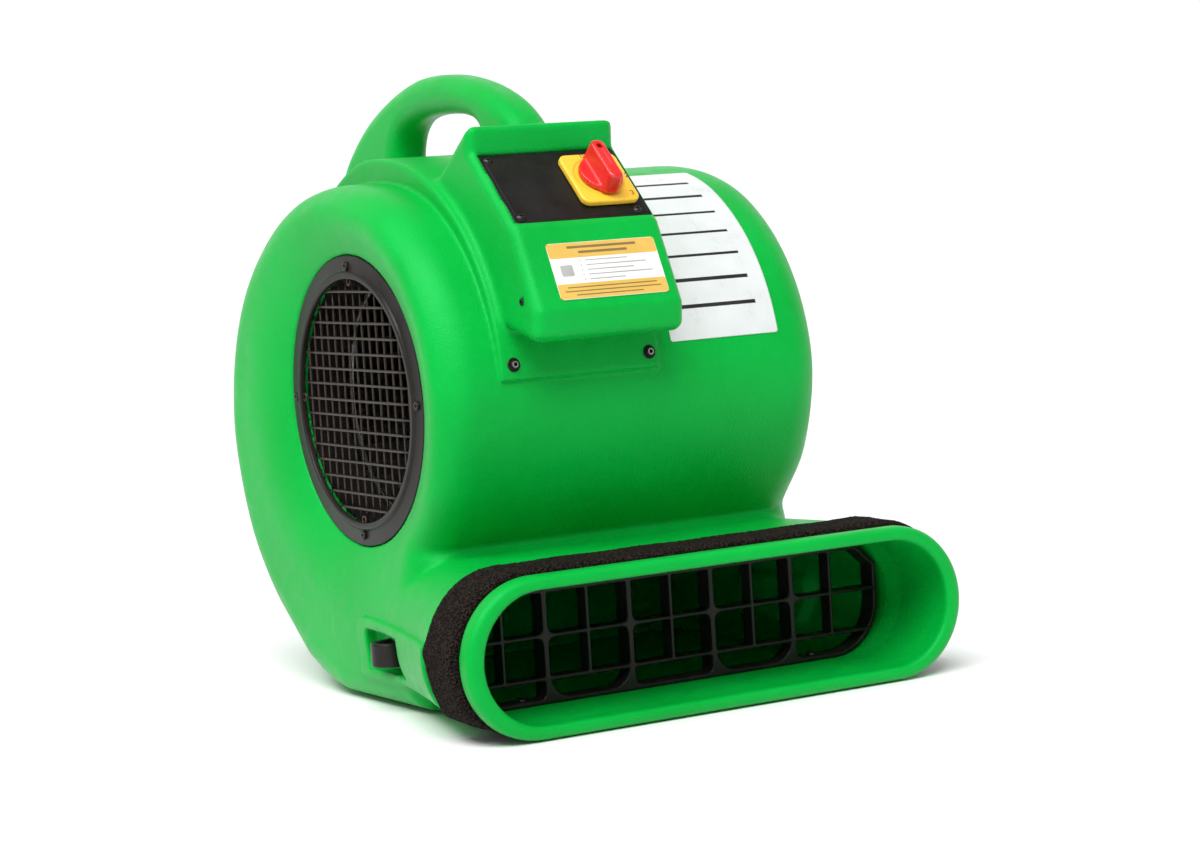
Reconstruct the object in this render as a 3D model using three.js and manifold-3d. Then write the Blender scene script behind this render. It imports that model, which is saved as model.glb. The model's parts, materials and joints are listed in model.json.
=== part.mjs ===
// Centrifugal cage dryer for a veterinary clinic: a rotomoulded blower with
// two side inlets, one wide flat outlet, a control box and a carry handle.
// Millimetres, +Z up, the outlet blows along -Y, the blower axle runs along X.
import * as THREE from 'three';
import { mergeVertices } from 'three/addons/utils/BufferGeometryUtils.js';
import Module from 'manifold-3d';

const wasm = await Module();
wasm.setup();

// ---------------------------------------------------------------- dimensions
// Every piece is drawn about the blower axle (Y = 0, Z = 0), then the whole
// assembly is shifted so its origin is the bottom centre of the bounding box.
const LIP_Y = -277;            // outlet lip face
const BACK_Y = 241.13;            // rearmost point of the volute
const FLOOR_Z = -245.5;        // plane the feet stand on
const BASE_Z = -244;           // flat underside of the housing
const DRUM_HALF = 182;         // half width of the drum at its crown
const DRUM_EDGE = 45;          // rounding of the drum edges
const WALL = 6;                // moulded wall
const GAP = 0.3;               // clearance between touching pieces

const LIP_A = 211.3, LIP_B = 50.6;   // half width and half height of the mouth
const LIP_RIM = 13;                  // width of the lip face
const OUT_Z = -182.7;                // centre height of the outlet
const NECK_IN = 7;                   // neck is this much inside the lip edge
const GRILLE_Y = -197, RIB_PITCH = 38.3; // front of the moulded grille, rib spacing
const RAILS_Z = [-180, -213.5];          // its two cross rails
const NECK_Y0 = -258, NECK_Y1 = -212;
const FOAM_T = 6;

const RING_IN = 99.5, RING_OUT = 118.5, RING_SCREW_R = 109.9;
const LEDGE_X = 164, RIM_X = 170;    // seat of the inlet ring and its outer rim
const WIRE_PITCH = 38.1, WIRE_R = 1.15;

const BOX_X = -52, BOX_HALF = 67;    // control box centre and half width
const PANEL_W = 119, PANEL_H = 79, PANEL_T = 3;
const PANEL_TOP = [-127.6, 191.4], PANEL_DIR = [-0.7256, -0.6881]; // down the slope
const PANEL_N = [-0.6881, 0.7256];   // outward normal in Y, Z

const HANDLE_HALF = 19, HANDLE_EDGE = 11;
const PAD_X0 = -126, PAD_X1 = 17;

const WHEEL_R = 118, WHEEL_IN = 99, WHEEL_HALF = 124, BLADES = 20;
const SHAFT_R = 7.5;
const MOTOR_R = 62;

// ---------------------------------------------------------------- helpers
function solid(geometry) {
  const g = geometry.clone();
  g.deleteAttribute('normal');
  g.deleteAttribute('uv');
  const m = mergeVertices(g, 1e-4);
  return new wasm.Manifold(new wasm.Mesh({
    numProp: 3,
    vertProperties: new Float32Array(m.attributes.position.array),
    triVerts: new Uint32Array(m.index.array),
  }));
}
function geo(s) {
  const m = s.getMesh();
  const g = new THREE.BufferGeometry();
  g.setAttribute('position', new THREE.BufferAttribute(new Float32Array(m.vertProperties), 3));
  g.setIndex(new THREE.BufferAttribute(new Uint32Array(m.triVerts), 1));
  g.computeVertexNormals();
  return g;
}
const cat = (list) => list.reduce((a, b) => a.add(b));

function shapeOf(points) {
  const s = new THREE.Shape();
  points.forEach(([a, b], i) => (i ? s.lineTo(a, b) : s.moveTo(a, b)));
  s.closePath();
  return s;
}
function smooth(points, n, closed = true) {
  const c = new THREE.CatmullRomCurve3(points.map(([a, b]) => new THREE.Vector3(a, b, 0)), closed, 'centripetal');
  const out = [];
  for (let i = 0; i < n; i++) { const p = c.getPoint(i / (closed ? n : n - 1)); out.push([p.x, p.y]); }
  return out;
}
// outline in (Y, Z), swept along X from x0 to x1
function slabX(points, x0, x1, edge = 0, segs = 3, hole = null) {
  const s = points.getPoints ? points : shapeOf(points);
  if (hole) s.holes.push(shapeOf(hole));
  const g = new THREE.ExtrudeGeometry(s, {
    depth: x1 - x0 - 2 * edge, bevelEnabled: edge > 0, bevelThickness: edge,
    bevelSize: edge, bevelOffset: -edge, bevelSegments: segs, steps: 1, curveSegments: 8,
  });
  const m = new THREE.Matrix4().makeBasis(
    new THREE.Vector3(0, 1, 0), new THREE.Vector3(0, 0, 1), new THREE.Vector3(1, 0, 0));
  g.applyMatrix4(m);
  g.translate(x0 + edge, 0, 0);
  return g;
}
// outline in (X, Z), swept along Y from y0 to y1
function slabY(points, y0, y1, hole = null, edge = 0, segs = 2) {
  const s = shapeOf(points);
  if (hole) s.holes.push(shapeOf(hole));
  const g = new THREE.ExtrudeGeometry(s, {
    depth: y1 - y0 - 2 * edge, bevelEnabled: edge > 0, bevelThickness: edge,
    bevelSize: edge, bevelOffset: -edge, bevelSegments: segs,
  });
  const m = new THREE.Matrix4().makeBasis(
    new THREE.Vector3(1, 0, 0), new THREE.Vector3(0, 0, 1), new THREE.Vector3(0, -1, 0));
  g.applyMatrix4(m);
  g.translate(0, y1 - edge, 0);
  return g;
}
// outline in (X, Y), swept along Z
function slabZ(points, z0, z1) {
  const g = new THREE.ExtrudeGeometry(shapeOf(points), { depth: z1 - z0, bevelEnabled: false });
  g.translate(0, 0, z0);
  return g;
}
function stadium(a, b, n, cx = 0, cz = 0) {
  const out = [];
  for (const side of [1, -1]) {
    for (let i = 0; i <= n; i++) {
      const t = -Math.PI / 2 + (Math.PI * i) / n;
      out.push([cx + side * (a - b + b * Math.cos(t)), cz + side * b * Math.sin(t)]);
    }
  }
  return out;
}
function roundRect(w, h, r, n = 3) {
  const out = [];
  [[1, -1, -90], [1, 1, 0], [-1, 1, 90], [-1, -1, 180]].forEach(([sx, sy, a0]) => {
    for (let i = 0; i <= n; i++) {
      const t = ((a0 + (90 * i) / n) * Math.PI) / 180;
      out.push([sx * (w / 2 - r) + r * Math.cos(t), sy * (h / 2 - r) + r * Math.sin(t)]);
    }
  });
  return out;
}
// body of revolution about the X axis; profile is [radius, x]
function turnX(profile, segs = 32) {
  const pts = profile.map(([r, x]) => new THREE.Vector2(r, x));
  if (profile[0][0] > 1e-6 || profile[profile.length - 1][0] > 1e-6) pts.push(pts[0].clone());
  let g = new THREE.LatheGeometry(pts, segs);
  g.deleteAttribute('normal'); g.deleteAttribute('uv');
  g = mergeVertices(g, 1e-4);
  // drop triangles that collapse on the axis
  const p = g.attributes.position, keep = [];
  const ix = g.index.array;
  for (let i = 0; i < ix.length; i += 3) {
    if (ix[i] !== ix[i + 1] && ix[i + 1] !== ix[i + 2] && ix[i] !== ix[i + 2]) keep.push(ix[i], ix[i + 1], ix[i + 2]);
  }
  g.setIndex(keep);
  // a profile drawn the other way round faces inwards
  let v = 0; const a = new THREE.Vector3(), b = new THREE.Vector3(), c = new THREE.Vector3();
  for (let i = 0; i < keep.length; i += 3) {
    a.fromBufferAttribute(p, keep[i]); b.fromBufferAttribute(p, keep[i + 1]); c.fromBufferAttribute(p, keep[i + 2]);
    v += a.dot(b.cross(c));
  }
  if (v < 0) { for (let i = 0; i < keep.length; i += 3) { const t = keep[i + 1]; keep[i + 1] = keep[i + 2]; keep[i + 2] = t; } g.setIndex(keep); }
  g.rotateZ(-Math.PI / 2);      // lathe axis Y becomes +X
  return g;
}
// body of revolution whose axis is `dir`, standing at `at`; profile [radius, height]
function turnAt(profile, at, dir, segs = 12) {
  const g = turnX(profile, segs);
  const q = new THREE.Quaternion().setFromUnitVectors(new THREE.Vector3(1, 0, 0), new THREE.Vector3(...dir).normalize());
  g.applyQuaternion(q);
  g.translate(...at);
  return g;
}
function box(x0, x1, y0, y1, z0, z1) {
  const g = new THREE.BoxGeometry(x1 - x0, y1 - y0, z1 - z0);
  g.translate((x0 + x1) / 2, (y0 + y1) / 2, (z0 + z1) / 2);
  return g;
}

// ---------------------------------------------------------------- materials
const mat = (color, roughness, metalness = 0) => new THREE.MeshStandardMaterial({ color, roughness, metalness });
const GREEN = mat(0x12b23f, 0.42);
const BLACK = mat(0x1b1a19, 0.45);
const BLACK_METAL = mat(0x26211e, 0.4, 0.6);
const FOAM = mat(0x15120f, 0.95);
const YELLOW = mat(0xf2b92a, 0.35);
const RED = mat(0xd8201c, 0.35);
const STEEL = mat(0xb9bcc0, 0.3, 1);
const GREY = mat(0x8d9196, 0.45, 0.8);
const WHITE = mat(0xe6e8e6, 0.4);
const RUBBER = mat(0x171717, 0.9);
const COPPER = mat(0xa65a2a, 0.4, 1);

const group = new THREE.Group();
function put(name, geometry, material, parent = group) {
  const m = new THREE.Mesh(geometry, material);
  m.name = name;
  parent.add(m);
  return m;
}

// ---------------------------------------------------------------- volute
// radius from the axle against the angle from +Y (rear) towards +Z (up)
const VOLUTE = [[-58, 252], [-45, 251], [-30, 250], [-12, 245], [0, 239], [14, 229], [28, 217], [45, 201],
  [60, 190], [75, 182], [90, 178], [105, 175.5], [120, 173.5], [140, 172], [160, 171.5], [180, 171.5], [205, 171], [225, 170]];
function voluteR(deg) {
  let i = 0;
  while (i < VOLUTE.length - 2 && VOLUTE[i + 1][0] < deg) i++;
  const [a0, r0] = VOLUTE[i], [a1, r1] = VOLUTE[i + 1];
  return r0 + ((r1 - r0) * (deg - a0)) / (a1 - a0);
}
const polar = (deg, r) => [r * Math.cos((deg * Math.PI) / 180), r * Math.sin((deg * Math.PI) / 180)];
function voluteOutline(inset, n = 26) {
  const ctrl = VOLUTE.map(([a, r]) => polar(a, r - inset));
  const arc = smooth(ctrl, n, false);
  const zb = BASE_Z + inset, r = 62 - inset;
  // fillet from the flat underside up into the scroll
  const pts = [[-118 + inset, zb], [52, zb], [84, zb + 4], [112, zb + 14]];
  return pts.concat(arc).concat([[-118 + inset, -122]]);
}
const drumOuter = solid(slabX(voluteOutline(0), -DRUM_HALF, DRUM_HALF, DRUM_EDGE, 3));
const drumInner = solid(slabX(voluteOutline(WALL), -DRUM_HALF + WALL, DRUM_HALF - WALL, DRUM_EDGE - WALL, 2));

// outlet duct: a round-ended section whose plan flares from the drum to the neck
const FLARE = [[-270, 219], [-212, 219], [-196, 217.5], [-170, 211.5], [-118, 198.5], [-66, 188], [-14, 182.5], [60, 182]];
function planOf(inset, y0, y1) {
  const half = FLARE.map(([y, x]) => [x - inset, y]).filter(([, y]) => y >= y0 && y <= y1);
  half[0][1] = y0; half[half.length - 1][1] = y1;
  return half.concat(half.map(([x, y]) => [-x, y]).reverse());
}
const NECK_B = LIP_B + LIP_RIM - NECK_IN - 2.0;
const snoutOuter = solid(slabY(stadium(219, NECK_B, 12, 0, OUT_Z), -270, 60))
  .intersect(solid(slabZ(planOf(0, -270, 60), -300, -100)));
const snoutInner = solid(slabY(stadium(219 - WALL, NECK_B - WALL, 10, 0, OUT_Z), -215, 55))
  .intersect(solid(slabZ(planOf(WALL, -215, 55), -300, -100)));
const lip = solid(slabY(stadium(LIP_A + LIP_RIM + 1.7, LIP_B + LIP_RIM - 2, 12, 0, OUT_Z), LIP_Y, NECK_Y0, null, 5, 1));
const mouth = solid(slabY(stadium(LIP_A, LIP_B, 12, 0, OUT_Z), LIP_Y - 5, -205))
  .add(solid(slabY(stadium(205, LIP_B, 12, 0, OUT_Z), -210, -176)));

// raised band that the box and the handle grow from, thickening over the top
function padOutline() {
  const out = [], inn = [];
  for (let a = 60; a <= 174; a += 9.5) out.push(polar(a, voluteR(a) + 2.6 + 9.5 * Math.max(0, Math.min(1, (174 - a) / 60))));
  for (let a = 174; a >= 60; a -= 9.5) inn.push(polar(a, 150));
  return out.concat(inn);
}
const pad = solid(slabX(padOutline().reverse(), PAD_X0, PAD_X1, 2.5, 2));

// control box with the hood over its sloping panel
const boxProfile = [[-130, 216], [-128.5, 194], [-190.5, 134.5], [-221, 70], [-218, 50], [-211, 47], [-171, 57], [-120, 60],
  [-60, 110], [-60, 168], [-73, 178], [-121, 212]];
const boxOuter = solid(slabX(boxProfile.slice().reverse(), BOX_X - BOX_HALF, BOX_X + BOX_HALF, 6, 1));
const boxInnerProfile = [[-122, 196], [-120, 186], [-183, 128], [-213.5, 70], [-211, 55], [-171, 64], [-120, 66],
  [-60, 90], [-60, 140]];
const boxInner = solid(slabX(boxInnerProfile.slice().reverse(), BOX_X - BOX_HALF + WALL, BOX_X + BOX_HALF - WALL));

// carry handle, an arch from the hood to the back of the drum
const handleOuter = [[-113, 190], [-112, 211], [-97, 225], [-77, 236], [-53, 246], [-26, 254], [5, 260], [38, 262], [66, 259.5],
  [112, 246.5], [150, 229.5], [176, 211.5], [196, 193.5], [210, 173], [220, 147.5], [225, 120], [226, 92], [219, 62]];
const handleInner = [[180, 60], [130, 120], [104, 150], [101, 178], [99, 200], [91, 215], [76, 225], [50, 230], [10, 230], [-25, 228],
  [-48, 222], [-59, 211], [-60, 197], [-60, 170], [-110, 165]];
const handle = solid(slabX(handleOuter.concat(handleInner).reverse(), BOX_X - HANDLE_HALF, BOX_X + HANDLE_HALF, HANDLE_EDGE, 2));
const legInner = solid(slabX([[200, 62], [214, 92], [213, 120], [207, 146], [198, 166], [184, 186], [160, 205], [130, 214], [113, 205],
  [114, 160], [140, 110]], BOX_X - HANDLE_HALF + WALL, BOX_X + HANDLE_HALF - WALL));

// side faces dish in to the inlet seats
const dish = (s) => solid(turnX([[0, s * (LEDGE_X + 3)], [RING_OUT + 1.2, s * (LEDGE_X + 3)], [143, s * 184], [0, s * 184]], 32));
const seat = (s) => solid(turnX([[0, s * LEDGE_X], [RING_OUT + 0.6, s * LEDGE_X], [RING_OUT + 0.6, s * 175], [0, s * 175]], 32));
const inletHole = (s) => solid(turnX([[0, s * 140], [101.5, s * 140], [101.5, s * 175], [0, s * 175]], 32));
const innerKeep = (s) => solid(turnX([[95, s * (LEDGE_X - WALL)], [132, s * (LEDGE_X - WALL)], [150, s * 180], [95, s * 180]], 30));

// side pockets for the tie-down loops
const POCKET_Y = -65, POCKET_Z = -197, POCKET_W = 76, POCKET_H = 34;
const pocketBoss = (s) => {
  const g = slabX(roundRect(POCKET_W + 30, POCKET_H + 16, 11), 150, 189, 1.6, 1);
  g.translate(0, POCKET_Y, POCKET_Z);
  if (s < 0) g.rotateZ(Math.PI).translate(0, 2 * POCKET_Y, 0);
  return solid(g);
};
const pocketCut = (s) => {
  const g = slabX(roundRect(POCKET_W, POCKET_H, 8), s > 0 ? 179 : -200, s > 0 ? 200 : -179);
  g.translate(0, POCKET_Y, POCKET_Z);
  return solid(g);
};
const pocketKeep = (s) => solid(box(s > 0 ? 172 : -200, s > 0 ? 200 : -172, POCKET_Y - 62, POCKET_Y + 62, POCKET_Z - 28, POCKET_Z + 28));

let outer = cat([drumOuter, snoutOuter, lip, pad, boxOuter, handle, pocketBoss(1), pocketBoss(-1)]);
outer = outer.subtract(dish(1)).subtract(dish(-1)).subtract(seat(1)).subtract(seat(-1));
let cavity = drumInner.subtract(innerKeep(1)).subtract(innerKeep(-1)).add(snoutInner)
  .subtract(pocketKeep(1)).subtract(pocketKeep(-1));
cavity = cat([cavity, mouth, boxInner, legInner, inletHole(1), inletHole(-1)]);
let housing = outer.subtract(cavity).subtract(pocketCut(1)).subtract(pocketCut(-1));

// panel frame: u runs to the right, v up the slope, n out of it
const panelCentre = new THREE.Vector3(BOX_X,
  PANEL_TOP[0] + (PANEL_DIR[0] * PANEL_H) / 2, PANEL_TOP[1] + (PANEL_DIR[1] * PANEL_H) / 2);
const PU = new THREE.Vector3(1, 0, 0);
const PV = new THREE.Vector3(0, -PANEL_DIR[0], -PANEL_DIR[1]);
const PN = new THREE.Vector3(0, PANEL_N[0], PANEL_N[1]);
const panelFrame = new THREE.Matrix4().makeBasis(PU, PV, PN).setPosition(panelCentre);
function onPanel(g) { g.applyMatrix4(panelFrame); return g; }
const panelPoint = (u, v, n) => new THREE.Vector3(u, v, n).applyMatrix4(panelFrame);
function plate(points, z0, z1, hole = null, edge = 0) {
  const s = shapeOf(points);
  if (hole) (Array.isArray(hole[0][0]) ? hole : [hole]).forEach((h) => s.holes.push(shapeOf(h)));
  const g = new THREE.ExtrudeGeometry(s, { depth: z1 - z0 - 2 * edge, bevelEnabled: edge > 0, bevelThickness: edge, bevelSize: edge, bevelOffset: -edge, bevelSegments: 2 });
  g.translate(0, 0, z0 + edge);
  return g;
}
const ringPts = (r, n, cx = 0, cy = 0) => Array.from({ length: n }, (_, i) => [cx + r * Math.cos((2 * Math.PI * i) / n), cy + r * Math.sin((2 * Math.PI * i) / n)]);

// seat of the panel: 2.6 deep recess and the window behind it
housing = housing.subtract(solid(onPanel(plate(roundRect(PANEL_W + 0.6, PANEL_H + 0.6, 3, 2), -PANEL_T - GAP + 0.5, 25))));
housing = housing.subtract(solid(onPanel(plate(roundRect(PANEL_W - 26, PANEL_H - 22, 4, 2), -20, 5))));

// screw holes
const SCREW_R = 2, HOLE_R = 2.3;
const holes = [];
const ringScrews = [];
for (const s of [-1, 1]) {
  for (let k = 0; k < 4; k++) {
    const a = (k * Math.PI) / 2;
    const y = RING_SCREW_R * Math.sin(a), z = RING_SCREW_R * Math.cos(a);
    ringScrews.push([s, k, y, z]);
    holes.push(solid(turnAt([[0, 158.6], [HOLE_R, 158.6], [HOLE_R, 172], [0, 172]].map(([r, h]) => [r, h]), [0, y, z], [s, 0, 0], 8)));
  }
}
const panelScrews = [[-PANEL_W / 2 + 7, PANEL_H / 2 - 7], [PANEL_W / 2 - 7, PANEL_H / 2 - 7], [-PANEL_W / 2 + 7, -PANEL_H / 2 + 7], [PANEL_W / 2 - 7, -PANEL_H / 2 + 7]];
for (const [u, v] of panelScrews) {
  holes.push(solid(onPanel((() => { const g = turnAt([[0, -12.5], [HOLE_R, -12.5], [HOLE_R, 5], [0, 5]], [0, 0, 0], [0, 0, 1], 8); g.translate(u, v, 0); return g; })())));
}
// pad screws clamp the band to the inner baffle, normal to the drum
const PAD_SCREW_Z = 29;
const padScrewAngle = 180 - (Math.asin(PAD_SCREW_Z / 174) * 180) / Math.PI;
const padScrews = [[-115, 'left'], [12 - 4, 'right']];
const padDir = [0, ...polar(padScrewAngle, 1)];
const padBase = voluteR(padScrewAngle) + 2.6 + 9.5 * Math.max(0, Math.min(1, (174 - padScrewAngle) / 60));
for (const [x] of padScrews) holes.push(solid(turnAt([[0, 150], [HOLE_R, 150], [HOLE_R, 190], [0, 190]], [x, 0, 0], padDir, 8)));
// tie loop screws
const LOOP_Y = -72, LOOP_Z = -197;
for (const s of [-1, 1]) for (const dy of [-19.5, 19.5]) holes.push(solid(turnAt([[0, 173.2], [1.9, 173.2], [1.9, 182], [0, 182]], [0, LOOP_Y + dy, LOOP_Z], [s, 0, 0], 8)));
// cord inlet in the right side of the box and the vent hole on the left
const GLAND = [BOX_X + BOX_HALF, -178, 92];
holes.push(solid(turnAt([[0, -12], [9.3, -12], [9.3, 3], [0, 3]], GLAND, [1, 0, 0], 12)));
holes.push(solid(turnAt([[0, -12], [2.2, -12], [2.2, 3], [0, 3]], [BOX_X - BOX_HALF, -197, 62], [-1, 0, 0], 8)));
// outlet grille studs and screws, motor bracket bolts
const grilleScrews = [[-136, 'left'], [136, 'right']];
for (const [x] of grilleScrews) holes.push(solid(turnAt([[0, -12], [HOLE_R, -12], [HOLE_R, 2], [0, 2]], [x, GRILLE_Y + 8, OUT_Z - LIP_B], [0, 0, 1], 8)));
const BRACKET_R = 113;
const bracketBolts = [45, 135, 225, 315].map((d) => [Math.cos((d * Math.PI) / 180) * BRACKET_R, Math.sin((d * Math.PI) / 180) * BRACKET_R]);
for (const [y, z] of bracketBolts) holes.push(solid(turnAt([[0, 150], [3.3, 150], [3.3, 162], [0, 162]], [0, y, z], [1, 0, 0], 10)));
// shallow pockets for the feet
const feet = [[-150, -170, 'front_left'], [150, -170, 'front_right'], [-118, 40, 'rear_left'], [118, 40, 'rear_right']];
const FOOT_R = 12;
for (const [x, y] of feet) holes.push(solid(turnAt([[0, BASE_Z - 5], [FOOT_R + GAP, BASE_Z - 5], [FOOT_R + GAP, BASE_Z + 2.5], [0, BASE_Z + 2.5]], [x, y, 0], [0, 0, 1], 12)));
for (const h of holes) housing = housing.subtract(h);
put('housing', geo(housing), GREEN);

// ---------------------------------------------------------------- inlets
const ringProfile = [[105.2, 164.3], [RING_OUT, 164.3], [RING_OUT, 167.3], [RING_OUT - 1.2, 168.2], [106, 168.2], [104.4, 170], [RING_IN, 170], [RING_IN, 166.9], [105.2, 166.9]];
function wireGrille(s) {
  const parts = [];
  const R = 104.2;
  const c = 165.45;
  parts.push(solid(turnX([[101.6, s * (c - 1.1)], [R, s * (c - 1.1)], [R, s * (c + 1.1)], [101.6, s * (c + 1.1)]], 28)));
  for (let k = -2; k <= 2; k++) {
    const o = k * WIRE_PITCH;
    const L = Math.sqrt(102.4 ** 2 - o * o);
    const xa = s * c - 1, xb = s * c + 1;
    parts.push(solid(box(xa, xb, -L, L, o - 1, o + 1)));
    parts.push(solid(box(xa, xb, o - 1, o + 1, -L, L)));
  }
  return geo(cat(parts));
}
for (const [s, side] of [[-1, 'left'], [1, 'right']]) {
  let ring = solid(turnX(ringProfile.map(([r, x]) => [r, s * x]), 32));
  for (const [t, , y, z] of ringScrews) if (t === s) ring = ring.subtract(solid(turnAt([[0, 160], [HOLE_R, 160], [HOLE_R, 175], [0, 175]], [0, y, z], [s, 0, 0], 8)));
  put(`inlet_ring_${side}`, geo(ring), BLACK);
  put(`inlet_grille_${side}`, wireGrille(s), BLACK_METAL);
}
const CLOCK = ['top', 'rear', 'bottom', 'front'];
for (const [s, k, y, z] of ringScrews) {
  const g = turnAt([[0, 159], [SCREW_R, 159], [SCREW_R, 168.5], [3.5, 168.5], [3.2, 170], [1.6, 170.9], [0, 171]], [0, y, z], [s, 0, 0], 10);
  put(`ring_screw_${s < 0 ? 'left' : 'right'}_${CLOCK[k]}`, g, BLACK_METAL);
}

// ---------------------------------------------------------------- outlet
// moulded grille: outline, three rails, main and minor uprights, round cells below
{
  const y0 = GRILLE_Y, y1 = GRILLE_Y + 17;
  const A = 199, zt = -143, zb = OUT_Z - LIP_B + GAP;
  const outline = (d) => {
    const p = [], a = A - d, t = zt - d, b = zb + d, r = 44 - d, c = 19 - d * 0.4;
    p.push([a - c, t], [-(a - c), t], [-a, t - c]);
    for (let i = 0; i <= 5; i++) { const q = Math.PI + (Math.PI / 2) * (i / 5); p.push([-(a - r) + r * Math.cos(q), b + r + r * Math.sin(q)]); }
    for (let i = 0; i <= 5; i++) { const q = 1.5 * Math.PI + (Math.PI / 2) * (i / 5); p.push([a - r + r * Math.cos(q), b + r + r * Math.sin(q)]); }
    p.push([a, t - c]);
    return p;
  };
  const clip = solid(slabY(outline(0), y0, y1));
  const parts = [solid(slabY(outline(0), y0, y1, outline(3.2)))];
  for (const z of RAILS_Z) parts.push(solid(box(-A, A, y0, y1 - 3, z - 1.5, z + 1.5)));
  for (let k = -4; k <= 4; k++) {
    const main = Math.abs(k) % 2 === 1, w = main ? 2.2 : 1.4;
    parts.push(solid(box(k * RIB_PITCH - w, k * RIB_PITCH + w, y0, y1 - (main ? 0 : 3), main ? zb : RAILS_Z[1], zt)));
    if (main) parts.push(solid(turnAt([[0, 0], [6, 0], [6, 14], [0, 14]], [k * RIB_PITCH, y0, RAILS_Z[0]], [0, 1, 0], 4)));
  }
  // webs that round off the lower cells
  const web = (x, s, r) => {
    const pts = [[0, 0], [r, 0]];
    for (let i = 1; i < 4; i++) { const q = 1.5 * Math.PI - (Math.PI / 2) * (i / 4); pts.push([r + r * Math.cos(q), r + r * Math.sin(q)]); }
    pts.push([0, r]);
    return solid(slabY(pts.map(([u, v]) => [x + s * u, zb + 1 + v]), y0, y1 - 2));
  };
  for (const [k, dir, r] of [[-3, 1, 19], [-1, -1, 19], [1, 1, 19], [3, -1, 19], [-3, -1, 6], [-1, 1, 6], [1, -1, 6], [3, 1, 6]]) parts.push(web(k * RIB_PITCH, dir, r));
  for (const [x] of grilleScrews) parts.push(solid(box(x - 8, x + 8, y0 + 1, y1 - 1, zb, zb + 3.4)));
  let grille = cat(parts).intersect(clip);
  for (const [x] of grilleScrews) grille = grille.subtract(solid(turnAt([[0, -20], [HOLE_R, -20], [HOLE_R, 12], [0, 12]], [x, GRILLE_Y + 8, OUT_Z - LIP_B], [0, 0, 1], 8)));
  put('outlet_grille', geo(grille), BLACK);
  for (const [x, side] of grilleScrews) {
    const top = zb + 3.4 - (OUT_Z - LIP_B);
    put(`outlet_grille_screw_${side}`, turnAt([[0, -3.6], [SCREW_R, -3.6], [SCREW_R, top + 0.3], [5.5, top + 0.3], [5.5, top + 1.3], [3.6, top + 1.3], [3, top + 3.2], [0, top + 3.6]], [x, GRILLE_Y + 8, OUT_Z - LIP_B], [0, 0, 1], 10), STEEL);
  }
}
// foam strip round the neck, behind the lip
put('foam_gasket', slabY(stadium(219 + GAP + FOAM_T, NECK_B + GAP + FOAM_T - 0.4, 12, 0, OUT_Z), NECK_Y0 + GAP, NECK_Y1, stadium(219 + GAP, NECK_B + GAP, 12, 0, OUT_Z)), FOAM);

// ---------------------------------------------------------------- controls
const PLATE_U = 32, PLATE_V = 1;     // centre of the switch plate on the panel
const mountHoles = panelScrews.map(([u, v]) => ringPts(2.4, 8, u, v));
put('control_panel', onPanel(plate(roundRect(PANEL_W, PANEL_H, 3, 3), -PANEL_T + 0.5, 0.5, [ringPts(12, 16, PLATE_U, PLATE_V)].concat(mountHoles))), BLACK);
panelScrews.forEach(([u, v], i) => {
  const g = turnAt([[0, -12], [SCREW_R, -12], [SCREW_R, 0.8], [4.2, 0.8], [3.6, 2.2], [1.8, 3.0], [0, 3.1]], [0, 0, 0], [0, 0, 1], 10);
  g.translate(u, v, 0);
  put(`panel_screw_${i + 1}`, onPanel(g), BLACK_METAL);
});
const place = (g) => { g.translate(PLATE_U, PLATE_V, 0); return onPanel(g); };
put('switch_plate', place(plate(roundRect(52, 55, 7, 3), 0.8, 6.6, ringPts(8.3, 14), 1.2)), YELLOW);
// switch body hangs behind the panel; its collar comes up through the plate
{
  const collar = turnAt([[0, -14], [8, -14], [8, 6.9], [0, 6.9]], [0, 0, 0], [0, 0, 1], 14);
  const block = plate(roundRect(28, 40, 3, 2), -38, -PANEL_T + 0.2);
  let body = solid(block).add(solid(collar)).subtract(solid(turnAt([[0, -8], [3.3, -8], [3.3, 10], [0, 10]], [0, 0, 0], [0, 0, 1], 10)));
  put('switch_body', place(geo(body)), BLACK);
}
{
  const base = solid(turnAt([[0, 7.2], [18.5, 7.2], [18.5, 10.5], [17.2, 12.2], [0, 12.2]], [0, 0, 0], [0, 0, 1], 28));
  const stem = solid(turnAt([[0, -6.5], [3, -6.5], [3, 8], [0, 8]], [0, 0, 0], [0, 0, 1], 10));
  const grip = solid(plate(roundRect(15, 44, 4.5, 3), 11, 27, null, 2.2));
  let knob = base.add(stem).add(grip).subtract(solid(turnAt([[0, 12], [2.7, 12], [2.7, 30], [0, 30]], [0, 14.5, 0], [0, 0, 1], 10)));
  knob = knob.subtract(solid(turnAt([[0, -7], [1.5, -7], [1.5, 0], [0, 0]], [0, 0, 0], [0, 0, 1], 6)));
  put('switch_knob', place(geo(knob)), RED);
  const ks = turnAt([[0, 12.4], [2.3, 12.4], [2.3, 14.6], [0, 15]], [0, 14.5, 0], [0, 0, 1], 10);
  put('knob_screw', place(ks), STEEL);
}
// label on the lower front face of the box
{
  const a = [-190.5, 134.5], b = [-221, 70];
  const d = [b[0] - a[0], b[1] - a[1]], L = Math.hypot(...d);
  const v = new THREE.Vector3(0, -d[0] / L, -d[1] / L), n = new THREE.Vector3(0, d[1] / L, -d[0] / L);
  if (n.y > 0) n.negate();
  const c = new THREE.Vector3(BOX_X + 6, a[0] + d[0] * 0.55, a[1] + d[1] * 0.55);
  const f = new THREE.Matrix4().makeBasis(new THREE.Vector3(1, 0, 0), v, n).setPosition(c);
  const g = plate(roundRect(98, 48, 1.5, 1), 0.3, 0.8);
  g.applyMatrix4(f);
  put('info_label', g, YELLOW);
}
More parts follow.
